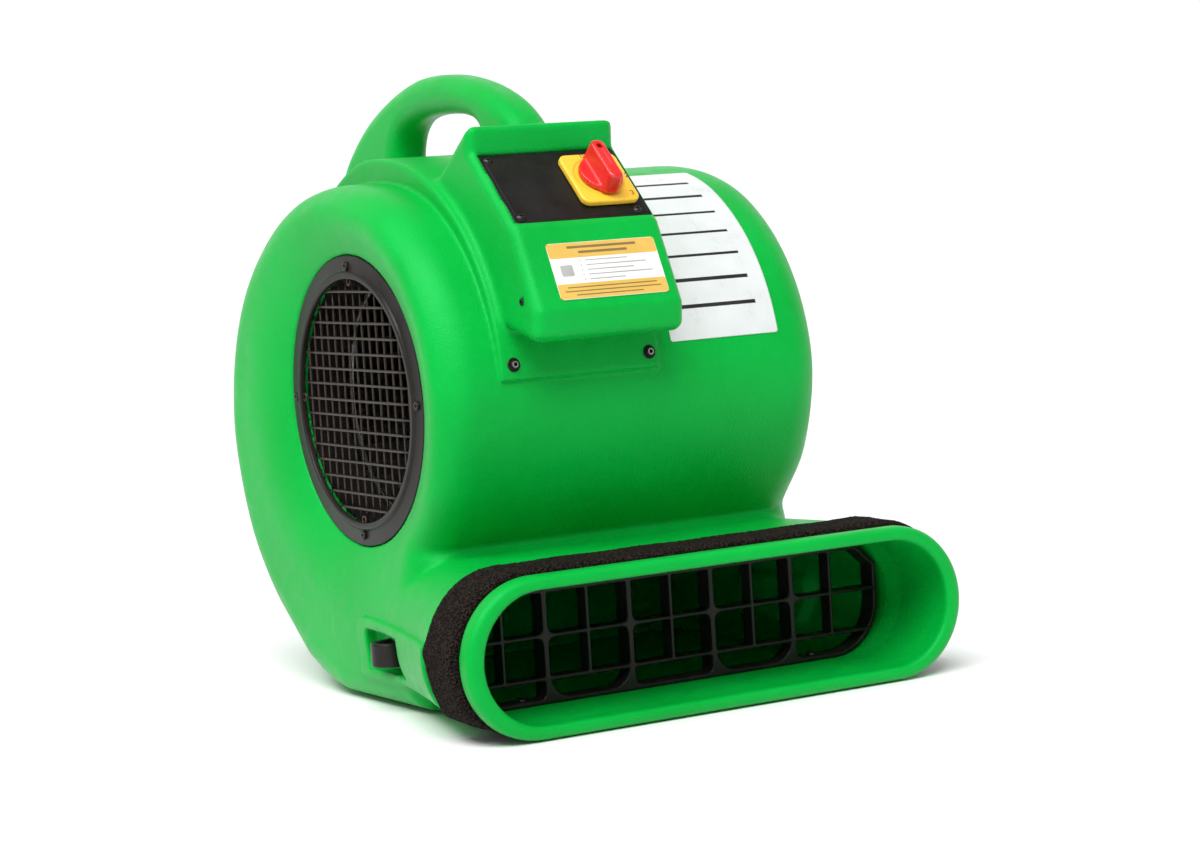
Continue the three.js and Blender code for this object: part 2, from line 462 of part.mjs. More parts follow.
// decal on the drum, right of the box
{
  const out = [], inn = [];
  for (let a = 104; a <= 168.6; a += 5.38) { out.push(polar(a, voluteR(a) + 1.0)); inn.push(polar(a, voluteR(a) + 0.35)); }
  put('drum_decal', slabX(out.concat(inn.reverse()), 31, 136), WHITE);
}
for (const [x, side] of padScrews) {
  put(`pad_screw_${side}`, turnAt([[0, 152], [SCREW_R, 152], [SCREW_R, padBase + 0.6], [5.6, padBase + 0.6], [5.6, padBase + 1.8], [3.9, padBase + 1.8], [3.9, padBase + 4.4], [0, padBase + 4.4]], [x, 0, 0], padDir, 12), BLACK_METAL);
}
{
  const collar = solid(turnAt([[0, 0.3], [13, 0.3], [13, 6], [10, 9], [0, 9]], GLAND, [1, 0, 0], 12));
  const thread = solid(turnAt([[0, -11], [9, -11], [9, 1], [0, 1]], GLAND, [1, 0, 0], 12));
  const bore = solid(turnAt([[0, -15], [5, -15], [5, 12], [0, 12]], GLAND, [1, 0, 0], 10));
  put('cord_gland', geo(collar.add(thread).subtract(bore)), BLACK);
}
// run capacitor lying in the box
put('run_capacitor', turnAt([[0, 0], [17.5, 0], [19, 1.5], [19, 60], [17.5, 61.5], [0, 61.5]], [BOX_X - 50, -178, 92], [1, 0, 0], 18), GREY);

// ---------------------------------------------------------------- side loops
for (const [s, side] of [[-1, 'left'], [1, 'right']]) {
  const base = solid(box(Math.min(s * 179.3, s * 182), Math.max(s * 179.3, s * 182), LOOP_Y - 24, LOOP_Y + 24, LOOP_Z - 9, LOOP_Z + 9));
  const arch = solid(turnAt([[0, -11], [15, -11], [15, 11], [0, 11]], [s * 181, LOOP_Y, LOOP_Z], [0, 0, 1], 18))
    .subtract(solid(turnAt([[0, -14], [9.5, -14], [9.5, 14], [0, 14]], [s * 181, LOOP_Y, LOOP_Z], [0, 0, 1], 14)))
    .subtract(solid(box(Math.min(s * 150, s * 180), Math.max(s * 150, s * 180), LOOP_Y - 30, LOOP_Y + 30, LOOP_Z - 20, LOOP_Z + 20)));
  let loop = base.add(arch);
  for (const dy of [-19.5, 19.5]) loop = loop.subtract(solid(turnAt([[0, 170], [2.1, 170], [2.1, 190], [0, 190]], [0, LOOP_Y + dy, LOOP_Z], [s, 0, 0], 8)));
  put(`tie_loop_${side}`, geo(loop), BLACK);
  for (const [dy, end] of [[-19.5, 'front'], [19.5, 'rear']]) {
    put(`tie_loop_screw_${side}_${end}`, turnAt([[0, 173.6], [1.7, 173.6], [1.7, 182.3], [3.4, 182.3], [3, 183.6], [0, 184.2]], [0, LOOP_Y + dy, LOOP_Z], [s, 0, 0], 8), BLACK_METAL);
  }
}
for (const [x, y, name] of feet) {
  put(`foot_${name}`, turnAt([[0, FLOOR_Z], [FOOT_R - 0.6, FLOOR_Z], [FOOT_R, FLOOR_Z + 0.6], [FOOT_R, BASE_Z + 2.2], [0, BASE_Z + 2.2]], [x, y, 0], [0, 0, 1], 12), RUBBER);
}

// ---------------------------------------------------------------- motor
put('motor_case', turnX([[MOTOR_R - 4, 28.3], [MOTOR_R, 28.3], [MOTOR_R, 125.7], [MOTOR_R - 4, 125.7]], 28), GREY);
put('motor_end_cap_left', turnX([[10, 8], [MOTOR_R - 3, 8], [MOTOR_R, 11], [MOTOR_R, 28], [MOTOR_R - 5, 28], [MOTOR_R - 5, 14], [24, 14], [24, 26], [17.9, 26], [17.9, 13.5], [10, 13.5]], 20), GREY);
put('motor_end_cap_right', turnX([[10, 148], [MOTOR_R - 3, 148], [MOTOR_R, 145], [MOTOR_R, 126], [MOTOR_R - 5, 126], [MOTOR_R - 5, 142], [24, 142], [24, 129], [17.9, 129], [17.9, 142.5], [10, 142.5]], 20), GREY);
put('motor_stator', turnX([[34, 48], [MOTOR_R - 4.3, 48], [MOTOR_R - 4.3, 106], [34, 106]], 28), COPPER);
put('motor_rotor', turnX([[SHAFT_R + 0.3, 47], [33.4, 47], [33.4, 107], [SHAFT_R + 0.3, 107]], 24), STEEL);
put('motor_shaft', turnX([[0, -24], [SHAFT_R - 1, -24], [SHAFT_R, -23], [SHAFT_R, 144.5], [SHAFT_R - 1, 145.5], [0, 145.5]], 16), STEEL);
put('bearing_left', turnX([[SHAFT_R + 0.3, 13.8], [17.6, 13.8], [17.6, 24.8], [SHAFT_R + 0.3, 24.8]], 20), STEEL);
put('bearing_right', turnX([[SHAFT_R + 0.3, 131], [17.6, 131], [17.6, 142.2], [SHAFT_R + 0.3, 142.2]], 20), STEEL);
{
  const x0 = 148.3, x1 = 152.3;
  const parts = [solid(turnX([[28, x0], [MOTOR_R + 3, x0], [MOTOR_R + 3, x1], [28, x1]], 28))];
  for (const d of [45, 135, 225, 315]) {
    parts.push(solid(box(x0, x1, 55, 122, -11, 11).rotateX((d * Math.PI) / 180)));
    parts.push(solid(box(x0, LEDGE_X - WALL - GAP, 103, 122, -11, 11).rotateX((d * Math.PI) / 180)));
  }
  let br = cat(parts);
  for (const [y, z] of bracketBolts) br = br.subtract(solid(turnAt([[0, 140], [3.5, 140], [3.5, 160], [0, 160]], [0, y, z], [1, 0, 0], 10)));
  put('motor_bracket', geo(br), BLACK_METAL);
  bracketBolts.forEach(([y, z], i) => put(`bracket_bolt_${i + 1}`, turnAt([[0, 143.5], [5.6, 143.5], [5.6, 148], [3.05, 148], [3.05, 161.5], [0, 161.5]], [0, y, z], [1, 0, 0], 12), STEEL));
}

// ---------------------------------------------------------------- wheel
{
  const parts = [
    solid(turnX([[WHEEL_IN + 1, -WHEEL_HALF], [WHEEL_R + 1.5, -WHEEL_HALF], [WHEEL_R + 1.5, -WHEEL_HALF + 3], [WHEEL_IN + 1, -WHEEL_HALF + 3]], 24)),
    solid(turnX([[WHEEL_IN + 1, WHEEL_HALF], [WHEEL_R + 1.5, WHEEL_HALF], [WHEEL_R + 1.5, WHEEL_HALF - 3], [WHEEL_IN + 1, WHEEL_HALF - 3]], 24)),
    solid(turnX([[SHAFT_R + 0.3, -22], [18, -22], [18, -2], [WHEEL_R - 1, -2], [WHEEL_R - 1, 0.5], [18, 0.5], [18, 4], [SHAFT_R + 0.3, 4]], 24)),
  ];
  for (let k = 0; k < BLADES; k++) {
    const t0 = (2 * Math.PI * k) / BLADES, n = 2, outer = [], inner = [];
    for (let i = 0; i <= n; i++) {
      const f = i / n, r = WHEEL_IN + 1.5 + (WHEEL_R - WHEEL_IN - 2) * f, t = t0 - 0.11 * Math.sin(f * 1.5) - 0.03 * f;
      const dt = 0.9 / r;
      outer.push([r * Math.cos(t + dt), r * Math.sin(t + dt)]);
      inner.push([r * Math.cos(t - dt), r * Math.sin(t - dt)]);
    }
    const pts = outer.concat(inner.reverse());
    parts.push(solid(slabX(pts, -WHEEL_HALF + 1, WHEEL_HALF - 1)));
  }
  put('impeller', geo(cat(parts)), BLACK);
}

group.children.forEach((m) => m.position.set(0, -(LIP_Y + BACK_Y) / 2, -FLOOR_Z));
group.name = 'cage_dryer';
export default group;
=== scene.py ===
# Pet dryer: the looks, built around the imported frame.
import json
import math
import bpy
import bmesh
import numpy as np
from mathutils import Matrix, Vector

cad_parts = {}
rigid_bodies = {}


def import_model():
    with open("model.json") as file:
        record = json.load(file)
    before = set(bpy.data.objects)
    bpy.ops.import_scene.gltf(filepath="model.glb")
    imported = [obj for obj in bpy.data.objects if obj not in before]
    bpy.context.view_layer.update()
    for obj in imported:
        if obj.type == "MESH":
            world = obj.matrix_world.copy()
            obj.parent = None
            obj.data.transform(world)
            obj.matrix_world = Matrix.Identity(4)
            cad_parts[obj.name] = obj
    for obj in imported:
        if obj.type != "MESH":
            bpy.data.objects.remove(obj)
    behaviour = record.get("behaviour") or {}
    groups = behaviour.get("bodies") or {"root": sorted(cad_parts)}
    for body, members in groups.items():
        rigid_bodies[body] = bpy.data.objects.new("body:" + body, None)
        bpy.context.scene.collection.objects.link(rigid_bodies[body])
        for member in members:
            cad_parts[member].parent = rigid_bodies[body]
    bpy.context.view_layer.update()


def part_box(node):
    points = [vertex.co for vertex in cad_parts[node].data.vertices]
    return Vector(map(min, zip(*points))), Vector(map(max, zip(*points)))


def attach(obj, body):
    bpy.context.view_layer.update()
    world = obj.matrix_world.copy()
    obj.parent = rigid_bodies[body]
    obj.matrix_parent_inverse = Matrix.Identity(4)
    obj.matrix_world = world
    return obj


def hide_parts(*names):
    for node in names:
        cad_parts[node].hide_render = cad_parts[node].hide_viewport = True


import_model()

# ------------------------------------------------------------------ the frame
# Shapes are written in millimetres about the blower axle; these two offsets
# take them into the row frame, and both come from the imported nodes.
_lo, _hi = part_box("inlet_ring_left")
OY = (_lo.y + _hi.y) / 2          # axle centre
OZ = (_lo.z + _hi.z) / 2
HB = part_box("housing")


def W(p):
    """millimetres about the axle -> metres in the row frame"""
    p = np.asarray(p, float)
    out = p / 1000.0
    out[..., 1] += OY
    out[..., 2] += OZ
    return out


WALL = 6.0
OUT_Z = -182.7
BASE_Z = -244.0
BOX_X, BOX_HALF = -52.0, 67.0
HANDLE_HALF = 19.0

# ------------------------------------------------------------------ materials
def material(name, rough=0.5, metal=0.0, spec=0.5, coat=0.0, coat_rough=0.1, sss=0.0, sss_radius=(1, 1, 1), sss_scale=0.01, sheen=0.0):
    m = bpy.data.materials.new(name)
    m.use_nodes = True
    nt = m.node_tree
    b = nt.nodes["Principled BSDF"]
    b.inputs["Roughness"].default_value = rough
    b.inputs["Metallic"].default_value = metal
    b.inputs["Specular IOR Level"].default_value = spec
    b.inputs["Coat Weight"].default_value = coat
    b.inputs["Coat Roughness"].default_value = coat_rough
    b.inputs["Subsurface Weight"].default_value = sss
    b.inputs["Subsurface Radius"].default_value = sss_radius
    b.inputs["Subsurface Scale"].default_value = sss_scale
    b.inputs["Sheen Weight"].default_value = sheen
    return m, nt, b


def node(nt, kind, **props):
    n = nt.nodes.new(kind)
    for k, v in props.items():
        setattr(n, k, v)
    return n


def coords(nt):
    return node(nt, "ShaderNodeTexCoord").outputs["Object"]


def noise(nt, scale, detail=4.0, rough=0.55, src=None, distort=0.0):
    n = node(nt, "ShaderNodeTexNoise")
    n.inputs["Scale"].default_value = scale
    n.inputs["Detail"].default_value = detail
    n.inputs["Roughness"].default_value = rough
    n.inputs["Distortion"].default_value = distort
    nt.links.new(src if src is not None else coords(nt), n.inputs["Vector"])
    return n.outputs["Fac"]


def ramp(nt, fac, stops):
    n = node(nt, "ShaderNodeValToRGB")
    e = n.color_ramp.elements
    while len(e) < len(stops):
        e.new(0.5)
    for el, (pos, col) in zip(e, stops):
        el.position = pos
        el.color = (*col, 1) if len(col) == 3 else col
    nt.links.new(fac, n.inputs["Fac"])
    return n.outputs["Color"]


def mapr(nt, fac, a, b, lo=0.0, hi=1.0):
    n = node(nt, "ShaderNodeMapRange")
    n.inputs["From Min"].default_value = lo
    n.inputs["From Max"].default_value = hi
    n.inputs["To Min"].default_value = a
    n.inputs["To Max"].default_value = b
    nt.links.new(fac, n.inputs["Value"])
    return n.outputs["Result"]


def mix(nt, fac, a, b, kind="MIX"):
    n = node(nt, "ShaderNodeMix", data_type="RGBA", blend_type=kind)
    if isinstance(fac, (int, float)):
        n.inputs["Factor"].default_value = fac
    else:
        nt.links.new(fac, n.inputs["Factor"])
    for s, v in ((n.inputs[6], a), (n.inputs[7], b)):
        if isinstance(v, tuple):
            s.default_value = (*v, 1) if len(v) == 3 else v
        else:
            nt.links.new(v, s)
    return n.outputs[2]


def math_node(nt, op, a, b=None, clamp=False):
    n = node(nt, "ShaderNodeMath", operation=op, use_clamp=clamp)
    for s, v in zip(n.inputs, (a, b)):
        if v is None:
            continue
        if isinstance(v, (int, float)):
            s.default_value = v
        else:
            nt.links.new(v, s)
    return n.outputs[0]


def bump(nt, b, height, strength, dist=0.001, prev=None):
    n = node(nt, "ShaderNodeBump")
    n.inputs["Strength"].default_value = strength
    n.inputs["Distance"].default_value = dist
    nt.links.new(height, n.inputs["Height"])
    if prev is not None:
        nt.links.new(prev, n.inputs["Normal"])
    nt.links.new(n.outputs["Normal"], b.inputs["Normal"])
    return n.outputs["Normal"]


def green_material():
    m, nt, b = material("moulded_green", rough=0.36, spec=0.40, sss=0.10, sss_radius=(0.1, 1.0, 0.15), sss_scale=0.004)
    b.inputs["Specular Tint"].default_value = (0.22, 1.0, 0.52, 1.0)
    c = coords(nt)
    big = noise(nt, 9, 3, 0.5, c)
    mid = noise(nt, 60, 4, 0.6, c)
    fine = noise(nt, 900, 2, 0.5, c)
    speck = noise(nt, 1700, 1, 0.5, c)
    col = ramp(nt, big, [(0.3, (0.0003, 0.345, 0.034)), (0.7, (0.0006, 0.405, 0.046))])
    col = mix(nt, mapr(nt, mid, 0.0, 0.22, 0.45, 0.75), col, (0.003, 0.45, 0.05))
    col = mix(nt, mapr(nt, speck, 0.0, 0.5, 0.66, 0.8), col, (0.02, 0.54, 0.11))
    nt.links.new(col, b.inputs["Base Color"])
    nt.links.new(mapr(nt, mid, 0.32, 0.46, 0.3, 0.7), b.inputs["Roughness"])
    n1 = bump(nt, b, fine, 0.55, 0.0008)
    bump(nt, b, mid, 0.10, 0.002, n1)
    return m


def plastic_material(name, col, rough=0.4, var=0.15, grain=700, strength=0.12, spec=0.5, coat=0.0):
    m, nt, b = material(name, rough=rough, spec=spec, coat=coat)
    c = coords(nt)
    n0 = noise(nt, 40, 4, 0.6, c)
    lo = tuple(v * (1 - var) for v in col)
    hi = tuple(min(1, v * (1 + var) + 0.004) for v in col)
    nt.links.new(ramp(nt, n0, [(0.3, lo), (0.7, hi)]), b.inputs["Base Color"])
    nt.links.new(mapr(nt, n0, rough * 0.85, min(1, rough * 1.2), 0.3, 0.7), b.inputs["Roughness"])
    bump(nt, b, noise(nt, grain, 2, 0.5, c), strength, 0.0005)
    return m


def metal_material(name, col, rough=0.3, var=0.12, metal=1.0):
    m, nt, b = material(name, rough=rough, metal=metal)
    c = coords(nt)
    n0 = noise(nt, 120, 5, 0.6, c)
    nt.links.new(ramp(nt, n0, [(0.3, tuple(v * (1 - var) for v in col)), (0.7, tuple(min(1, v * (1 + var)) for v in col))]), b.inputs["Base Color"])
    nt.links.new(mapr(nt, n0, rough * 0.7, min(1, rough * 1.4), 0.3, 0.7), b.inputs["Roughness"])
    bump(nt, b, noise(nt, 1500, 2, 0.5, c), 0.08, 0.0004)
    return m


def foam_material():
    m, nt, b = material("foam", rough=0.95, spec=0.08, sheen=0.0)
    c = coords(nt)
    v = node(nt, "ShaderNodeTexVoronoi", feature="F1")
    v.inputs["Scale"].default_value = 620
    nt.links.new(c, v.inputs["Vector"])
    g = noise(nt, 900, 3, 0.7, c)
    h = math_node(nt, "ADD", math_node(nt, "MULTIPLY", v.outputs["Distance"], 0.8), g)
    col = ramp(nt, h, [(0.45, (0.0006, 0.0005, 0.0005)), (0.85, (0.0032, 0.0025, 0.002)), (1.15, (0.03, 0.021, 0.018))])
    nt.links.new(col, b.inputs["Base Color"])
    bump(nt, b, h, 0.9, 0.0016)
    return m


GREEN = green_material()
BLACK = plastic_material("black_plastic", (0.010, 0.0085, 0.0075), rough=0.33, var=0.25, grain=800, strength=0.10, spec=0.20)
PANEL = plastic_material("panel_plastic", (0.006, 0.005, 0.0045), rough=0.46, var=0.25, grain=1100, strength=0.35, spec=0.25)
RINGM = plastic_material("ring_plastic", (0.014, 0.0115, 0.010), rough=0.34, var=0.2, grain=600, strength=0.15, spec=0.20)
WIREM = metal_material("black_wire", (0.05, 0.036, 0.028), rough=0.38, var=0.3, metal=0.55)
SCREWB = metal_material("black_screw", (0.035, 0.032, 0.03), rough=0.34, var=0.2, metal=0.8)
# fan blade steel, darkened well below plated steel: the low value is painted shade for the blades' place deep inside
# the drum
FAN_SHADED_STEEL = metal_material("fan_steel_painted_shade", (0.10, 0.10, 0.10), rough=0.5)
STEEL = metal_material("plated_steel", (0.60, 0.60, 0.61), rough=0.28)
ALLOY = metal_material("motor_alloy", (0.36, 0.37, 0.38), rough=0.45)
COPPER = metal_material("winding", (0.45, 0.20, 0.08), rough=0.4)
YELLOW = plastic_material("yellow_plate", (0.86, 0.52, 0.035), rough=0.34, var=0.05, grain=700, strength=0.05, coat=0.15)
RED = plastic_material("red_knob", (0.66, 0.012, 0.010), rough=0.33, var=0.06, grain=700, strength=0.05, coat=0.15)
RUBBER = plastic_material("foot_rubber", (0.02, 0.02, 0.02), rough=0.85, var=0.2, grain=500, strength=0.3)
DIGIT = plastic_material("digit_ink", (0.10, 0.07, 0.02), rough=0.5, var=0.1)
FOAM = foam_material()


# ------------------------------------------------------------------ mesh tools
def new_object(name, verts, faces, mat, body="housing", smooth=True):
    me = bpy.data.meshes.new(name)
    verts = np.asarray(verts, np.float32)
    if isinstance(faces, np.ndarray):
        k = faces.shape[1]
        me.vertices.add(len(verts)); me.vertices.foreach_set("co", verts.ravel())
        me.loops.add(faces.size); me.loops.foreach_set("vertex_index", faces.astype(np.int32).ravel())
        me.polygons.add(len(faces)); me.polygons.foreach_set("loop_start", np.arange(0, faces.size, k, dtype=np.int32))
        me.update(calc_edges=True)
    else:
        me.from_pydata([tuple(v) for v in verts], [], faces)
    me.validate(clean_customdata=False)
    if smooth:
        me.polygons.foreach_set("use_smooth", np.ones(len(me.polygons), bool))
    o = bpy.data.objects.new(name, me)
    bpy.context.scene.collection.objects.link(o)
    me.materials.append(mat)
    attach(o, body)
    return o


def apply_modifiers(o):
    bpy.context.view_layer.update()
    dg = bpy.context.evaluated_depsgraph_get()
    me = bpy.data.meshes.new_from_object(o.evaluated_get(dg))
    old = o.data
    o.modifiers.clear()
    o.data = me
    bpy.data.meshes.remove(old)


def sharp_by_angle(o, deg=35):
    """flat where the faces turn sharply, smooth elsewhere"""
    bm = bmesh.new(); bm.from_mesh(o.data)
    for f in bm.faces:
        f.smooth = True
    lim = math.radians(deg)
    for e in bm.edges:
        if len(e.link_faces) == 2:
            e.smooth = e.calc_face_angle(0) < lim
    bm.to_mesh(o.data); bm.free()


def lathe(name, profile, segs, at, axis, mat, body="housing", deg=30, closed=True):
    """body of revolution; profile [radius, height] along `axis` from `at` (mm)"""
    axis = np.array(axis, float); axis /= np.linalg.norm(axis)
    t = np.array([0, 0, 1.0]) if abs(axis[2]) < 0.9 else np.array([0, 1.0, 0])
    e1 = np.cross(axis, t); e1 /= np.linalg.norm(e1); e2 = np.cross(axis, e1)
    n = len(profile); verts = []; ring = []
    for r, h in profile:
        if r < 1e-6:
            ring.append([len(verts)]); verts.append(np.array(at) + axis * h)
        else:
            ring.append(list(range(len(verts), len(verts) + segs)))
            for i in range(segs):
                a = 2 * math.pi * i / segs
                verts.append(np.array(at) + axis * h + r * (math.cos(a) * e1 + math.sin(a) * e2))
    faces = []
    pairs = [(i, i + 1) for i in range(n - 1)] + ([(n - 1, 0)] if closed and profile[0][0] > 1e-6 else [])
    for a, b in pairs:
        A, B = ring[a], ring[b]
        for i in range(segs):
            j = (i + 1) % segs
            if len(A) == 1 and len(B) == 1:
                continue
            if len(A) == 1:
                faces.append((A[0], B[j], B[i]))
            elif len(B) == 1:
                faces.append((A[i], A[j], B[0]))
            else:
                faces.append((A[i], A[j], B[j], B[i]))
    o = new_object(name, W(np.array(verts)), faces, mat, body)
    bm = bmesh.new(); bm.from_mesh(o.data)
    bmesh.ops.recalc_face_normals(bm, faces=bm.faces)
    bm.to_mesh(o.data); bm.free()
    sharp_by_angle(o, deg)
    return o


def arc(cx, cy, r, a0, a1, n):
    return [[cx + r * math.cos(math.radians(a0 + (a1 - a0) * i / n)), cy + r * math.sin(math.radians(a0 + (a1 - a0) * i / n))] for i in range(n + 1)]


def catmull(points, n, closed=False):
    """centripetal spline through the points"""
    P = [np.array(p, float) for p in points]
    N = len(P); out = []
    seg = N if closed else N - 1
    per = max(1, n // seg)
    for i in range(seg):
        if closed:
            p0, p1, p2, p3 = P[(i - 1) % N], P[i], P[(i + 1) % N], P[(i + 2) % N]
        else:
            p1, p2 = P[i], P[i + 1]
            p0 = P[i - 1] if i > 0 else 2 * p1 - p2
            p3 = P[i + 2] if i + 2 < N else 2 * p2 - p1
        t0 = 0.0; t1 = t0 + np.linalg.norm(p1 - p0) ** 0.5; t2 = t1 + np.linalg.norm(p2 - p1) ** 0.5; t3 = t2 + np.linalg.norm(p3 - p2) ** 0.5
        for k in range(per):
            t = t1 + (t2 - t1) * k / per
            A1 = (t1 - t) / (t1 - t0) * p0 + (t - t0) / (t1 - t0) * p1
            A2 = (t2 - t) / (t2 - t1) * p1 + (t - t1) / (t2 - t1) * p2
            A3 = (t3 - t) / (t3 - t2) * p2 + (t - t2) / (t3 - t2) * p3
            B1 = (t2 - t) / (t2 - t0) * A1 + (t - t0) / (t2 - t0) * A2
            B2 = (t3 - t) / (t3 - t1) * A2 + (t - t1) / (t3 - t1) * A3
            out.append(((t2 - t) / (t2 - t1) * B1 + (t - t1) / (t2 - t1) * B2).tolist())
    if not closed:
        out.append(P[-1].tolist())
    return out


def fillet(points, radii, n=6):
    """closed outline with its corners rounded"""
    out = []
    N = len(points)
    for i, p in enumerate(points):
        r = radii[i] if isinstance(radii, (list, tuple)) else radii
        a, b, c = np.array(points[i - 1], float), np.array(p, float), np.array(points[(i + 1) % N], float)
        u, v = a - b, c - b
        lu, lv = np.linalg.norm(u), np.linalg.norm(v)
        u /= lu; v /= lv
        ang = math.acos(np.clip(np.dot(u, v), -1, 1))
        if r <= 0 or ang > 3.05:
            out.append(list(map(float, b))); continue
        d = min(r / math.tan(ang / 2), 0.48 * lu, 0.48 * lv)
        rr = d * math.tan(ang / 2)
        w = (u + v) / np.linalg.norm(u + v)
        ctr = b + w * rr / math.sin(ang / 2)
        s, e = b + u * d - ctr, b + v * d - ctr
        a0 = math.atan2(s[1], s[0]); a1 = math.atan2(e[1], e[0])
        da = (a1 - a0 + math.pi) % (2 * math.pi) - math.pi
        for k in range(n + 1):
            t = a0 + da * k / n
            out.append([ctr[0] + rr * math.cos(t), ctr[1] + rr * math.sin(t)])
    return out


# ------------------------------------------------------------------ distance fields
def smin(a, b, k):
    h = np.clip(0.5 + 0.5 * (b - a) / k, 0, 1)
    return b + (a - b) * h - k * h * (1 - h)


def smax(a, b, k):
    return -smin(-a, -b, k)


def rounded(q0, q1, r):
    """corner of two distances, rounded by r"""
    a, b = q0 + r, q1 + r
    return np.minimum(np.maximum(a, b), 0) + np.sqrt(np.maximum(a, 0) ** 2 + np.maximum(b, 0) ** 2) - r


def poly_sdf(points, Y, Z):
    P = np.array(points, np.float64); Q = np.roll(P, -1, 0)
    d = np.full(np.broadcast(Y, Z).shape, 1e12); inside = np.zeros(d.shape, bool)
    for (ay, az), (by, bz) in zip(P, Q):
        ey, ez = by - ay, bz - az
        L = ey * ey + ez * ez
        if L < 1e-12:
            continue
        wy, wz = Y - ay, Z - az
        t = np.clip((wy * ey + wz * ez) / L, 0, 1)
        d = np.minimum(d, (wy - t * ey) ** 2 + (wz - t * ez) ** 2)
        c = (az > Z) != (bz > Z)
        if abs(ez) > 1e-12:
            inside ^= c & (Y < ey * (Z - az) / ez + ay)
    d = np.sqrt(d)
    return np.where(inside, -d, d)


class Table:
    """signed distance to an outline, kept on a fine grid"""
    def __init__(self, points, lo, hi, h):
        self.lo, self.h = lo, h
        ny, nz = int((hi[0] - lo[0]) / h) + 2, int((hi[1] - lo[1]) / h) + 2
        Y, Z = np.meshgrid(lo[0] + h * np.arange(ny), lo[1] + h * np.arange(nz), indexing="ij")
        self.T = poly_sdf(points, Y, Z).astype(np.float32)

    def __call__(self, y, z):
        fy, fz = (y - self.lo[0]) / self.h, (z - self.lo[1]) / self.h
        fy = np.clip(fy, 0, self.T.shape[0] - 1.001); fz = np.clip(fz, 0, self.T.shape[1] - 1.001)
        iy, iz = fy.astype(np.int32), fz.astype(np.int32)
        ty, tz = (fy - iy).astype(np.float32), (fz - iz).astype(np.float32)
        T = self.T
        return (T[iy, iz] * (1 - ty) + T[iy + 1, iz] * ty) * (1 - tz) + (T[iy, iz + 1] * (1 - ty) + T[iy + 1, iz + 1] * ty) * tz


def surface_nets(f, xs, ys, zs, newton=3):
    """closed quad mesh of f = 0 on a rectilinear grid, pulled on to the true surface"""
    xs, ys, zs = (np.asarray(v, np.float32) for v in (xs, ys, zs))
    F = np.broadcast_to(f(xs[:, None, None], ys[None, :, None], zs[None, None, :]), (len(xs), len(ys), len(zs))).astype(np.float32)
    S = F < 0
    c = [S[i:len(xs) - 1 + i, j:len(ys) - 1 + j, k:len(zs) - 1 + k] for i in (0, 1) for j in (0, 1) for k in (0, 1)]
    any_, all_ = c[0].copy(), c[0].copy()
    for s in c[1:]:
        any_ |= s; all_ &= s
    act = any_ & ~all_
    idx = np.full(act.shape, -1, np.int64)
    I, J, K = np.nonzero(act)
    idx[I, J, K] = np.arange(len(I))
    P = np.zeros((len(I), 3)); cnt = np.zeros(len(I))
    ax = (xs, ys, zs)
    for d in range(3):
        o1, o2 = [a for a in range(3) if a != d]
        for u in (0, 1):
            for v in (0, 1):
                a = [I.copy(), J.copy(), K.copy()]; a[o1] += u; a[o2] += v
                b = [q.copy() for q in a]; b[d] += 1
                fa, fb = F[a[0], a[1], a[2]], F[b[0], b[1], b[2]]
                m = (fa < 0) != (fb < 0)
                t = np.where(m, fa / np.where(m, fa - fb, 1), 0)
                for q in range(3):
                    va = ax[q][a[q]]
                    P[:, q] += np.where(m, va + (t * (ax[q][b[q]] - va) if q == d else 0), 0)
                cnt += m
    P /= cnt[:, None]
    h = 0.25
    for _ in range(newton):
        x, y, z = P[:, 0], P[:, 1], P[:, 2]
        d0 = f(x, y, z)
        g = np.stack([f(x + h, y, z) - f(x - h, y, z), f(x, y + h, z) - f(x, y - h, z), f(x, y, z + h) - f(x, y, z - h)], 1) / (2 * h)
        g2 = np.maximum((g * g).sum(1), 0.2)
        step = (d0 / g2)[:, None] * g
        ln = np.linalg.norm(step, axis=1)
        step *= np.minimum(1, 1.5 / np.maximum(ln, 1e-9))[:, None]
        P -= step
    faces = []
    for d in range(3):
        o1, o2 = [(1, 2), (2, 0), (0, 1)][d]
        sl = [slice(None)] * 3; sl2 = [slice(None)] * 3
        sl[d] = slice(0, F.shape[d] - 1); sl2[d] = slice(1, F.shape[d])
        for q in (o1, o2):
            sl[q] = slice(1, F.shape[q] - 1); sl2[q] = slice(1, F.shape[q] - 1)
        s1, s2 = S[tuple(sl)], S[tuple(sl2)]
        for flip, m in ((False, s1 & ~s2), (True, ~s1 & s2)):
            e = list(np.nonzero(m))
            e[o1] = e[o1] + 1; e[o2] = e[o2] + 1
            def cell(du, dv):
                g = [v.copy() for v in e]; g[o1] -= du; g[o2] -= dv
                return idx[g[0], g[1], g[2]]
            q = [cell(1, 1), cell(0, 1), cell(0, 0), cell(1, 0)]
            if flip:
                q = q[::-1]
            faces.append(np.stack(q, 1))
    faces = np.concatenate(faces)
    return P, faces


def axis_grid(lo, hi, base, fine=()):
    """grid coordinates with finer stretches: fine = [(from, to, step)]"""
    out = [lo]
    while out[-1] < hi:
        step = base
        for a, b, s in fine:
            if a - base <= out[-1] <= b:
                step = min(step, s)
        out.append(out[-1] + step)
    return out

# ------------------------------------------------------------------ the housing
VOLUTE = [(-58, 252), (-45, 251), (-30, 250), (-12, 245), (0, 239), (14, 229), (28, 217), (45, 201), (60, 190), (75, 180),
          (90, 174.2), (105, 173.0), (120, 173.0), (140, 172), (160, 171.5), (180, 171), (205, 167), (225, 164)]


def pol(deg, r):
    return [r * math.cos(math.radians(deg)), r * math.sin(math.radians(deg))]


def volute_r(deg):
    return float(np.interp(deg, [a for a, _ in VOLUTE], [r for _, r in VOLUTE]))


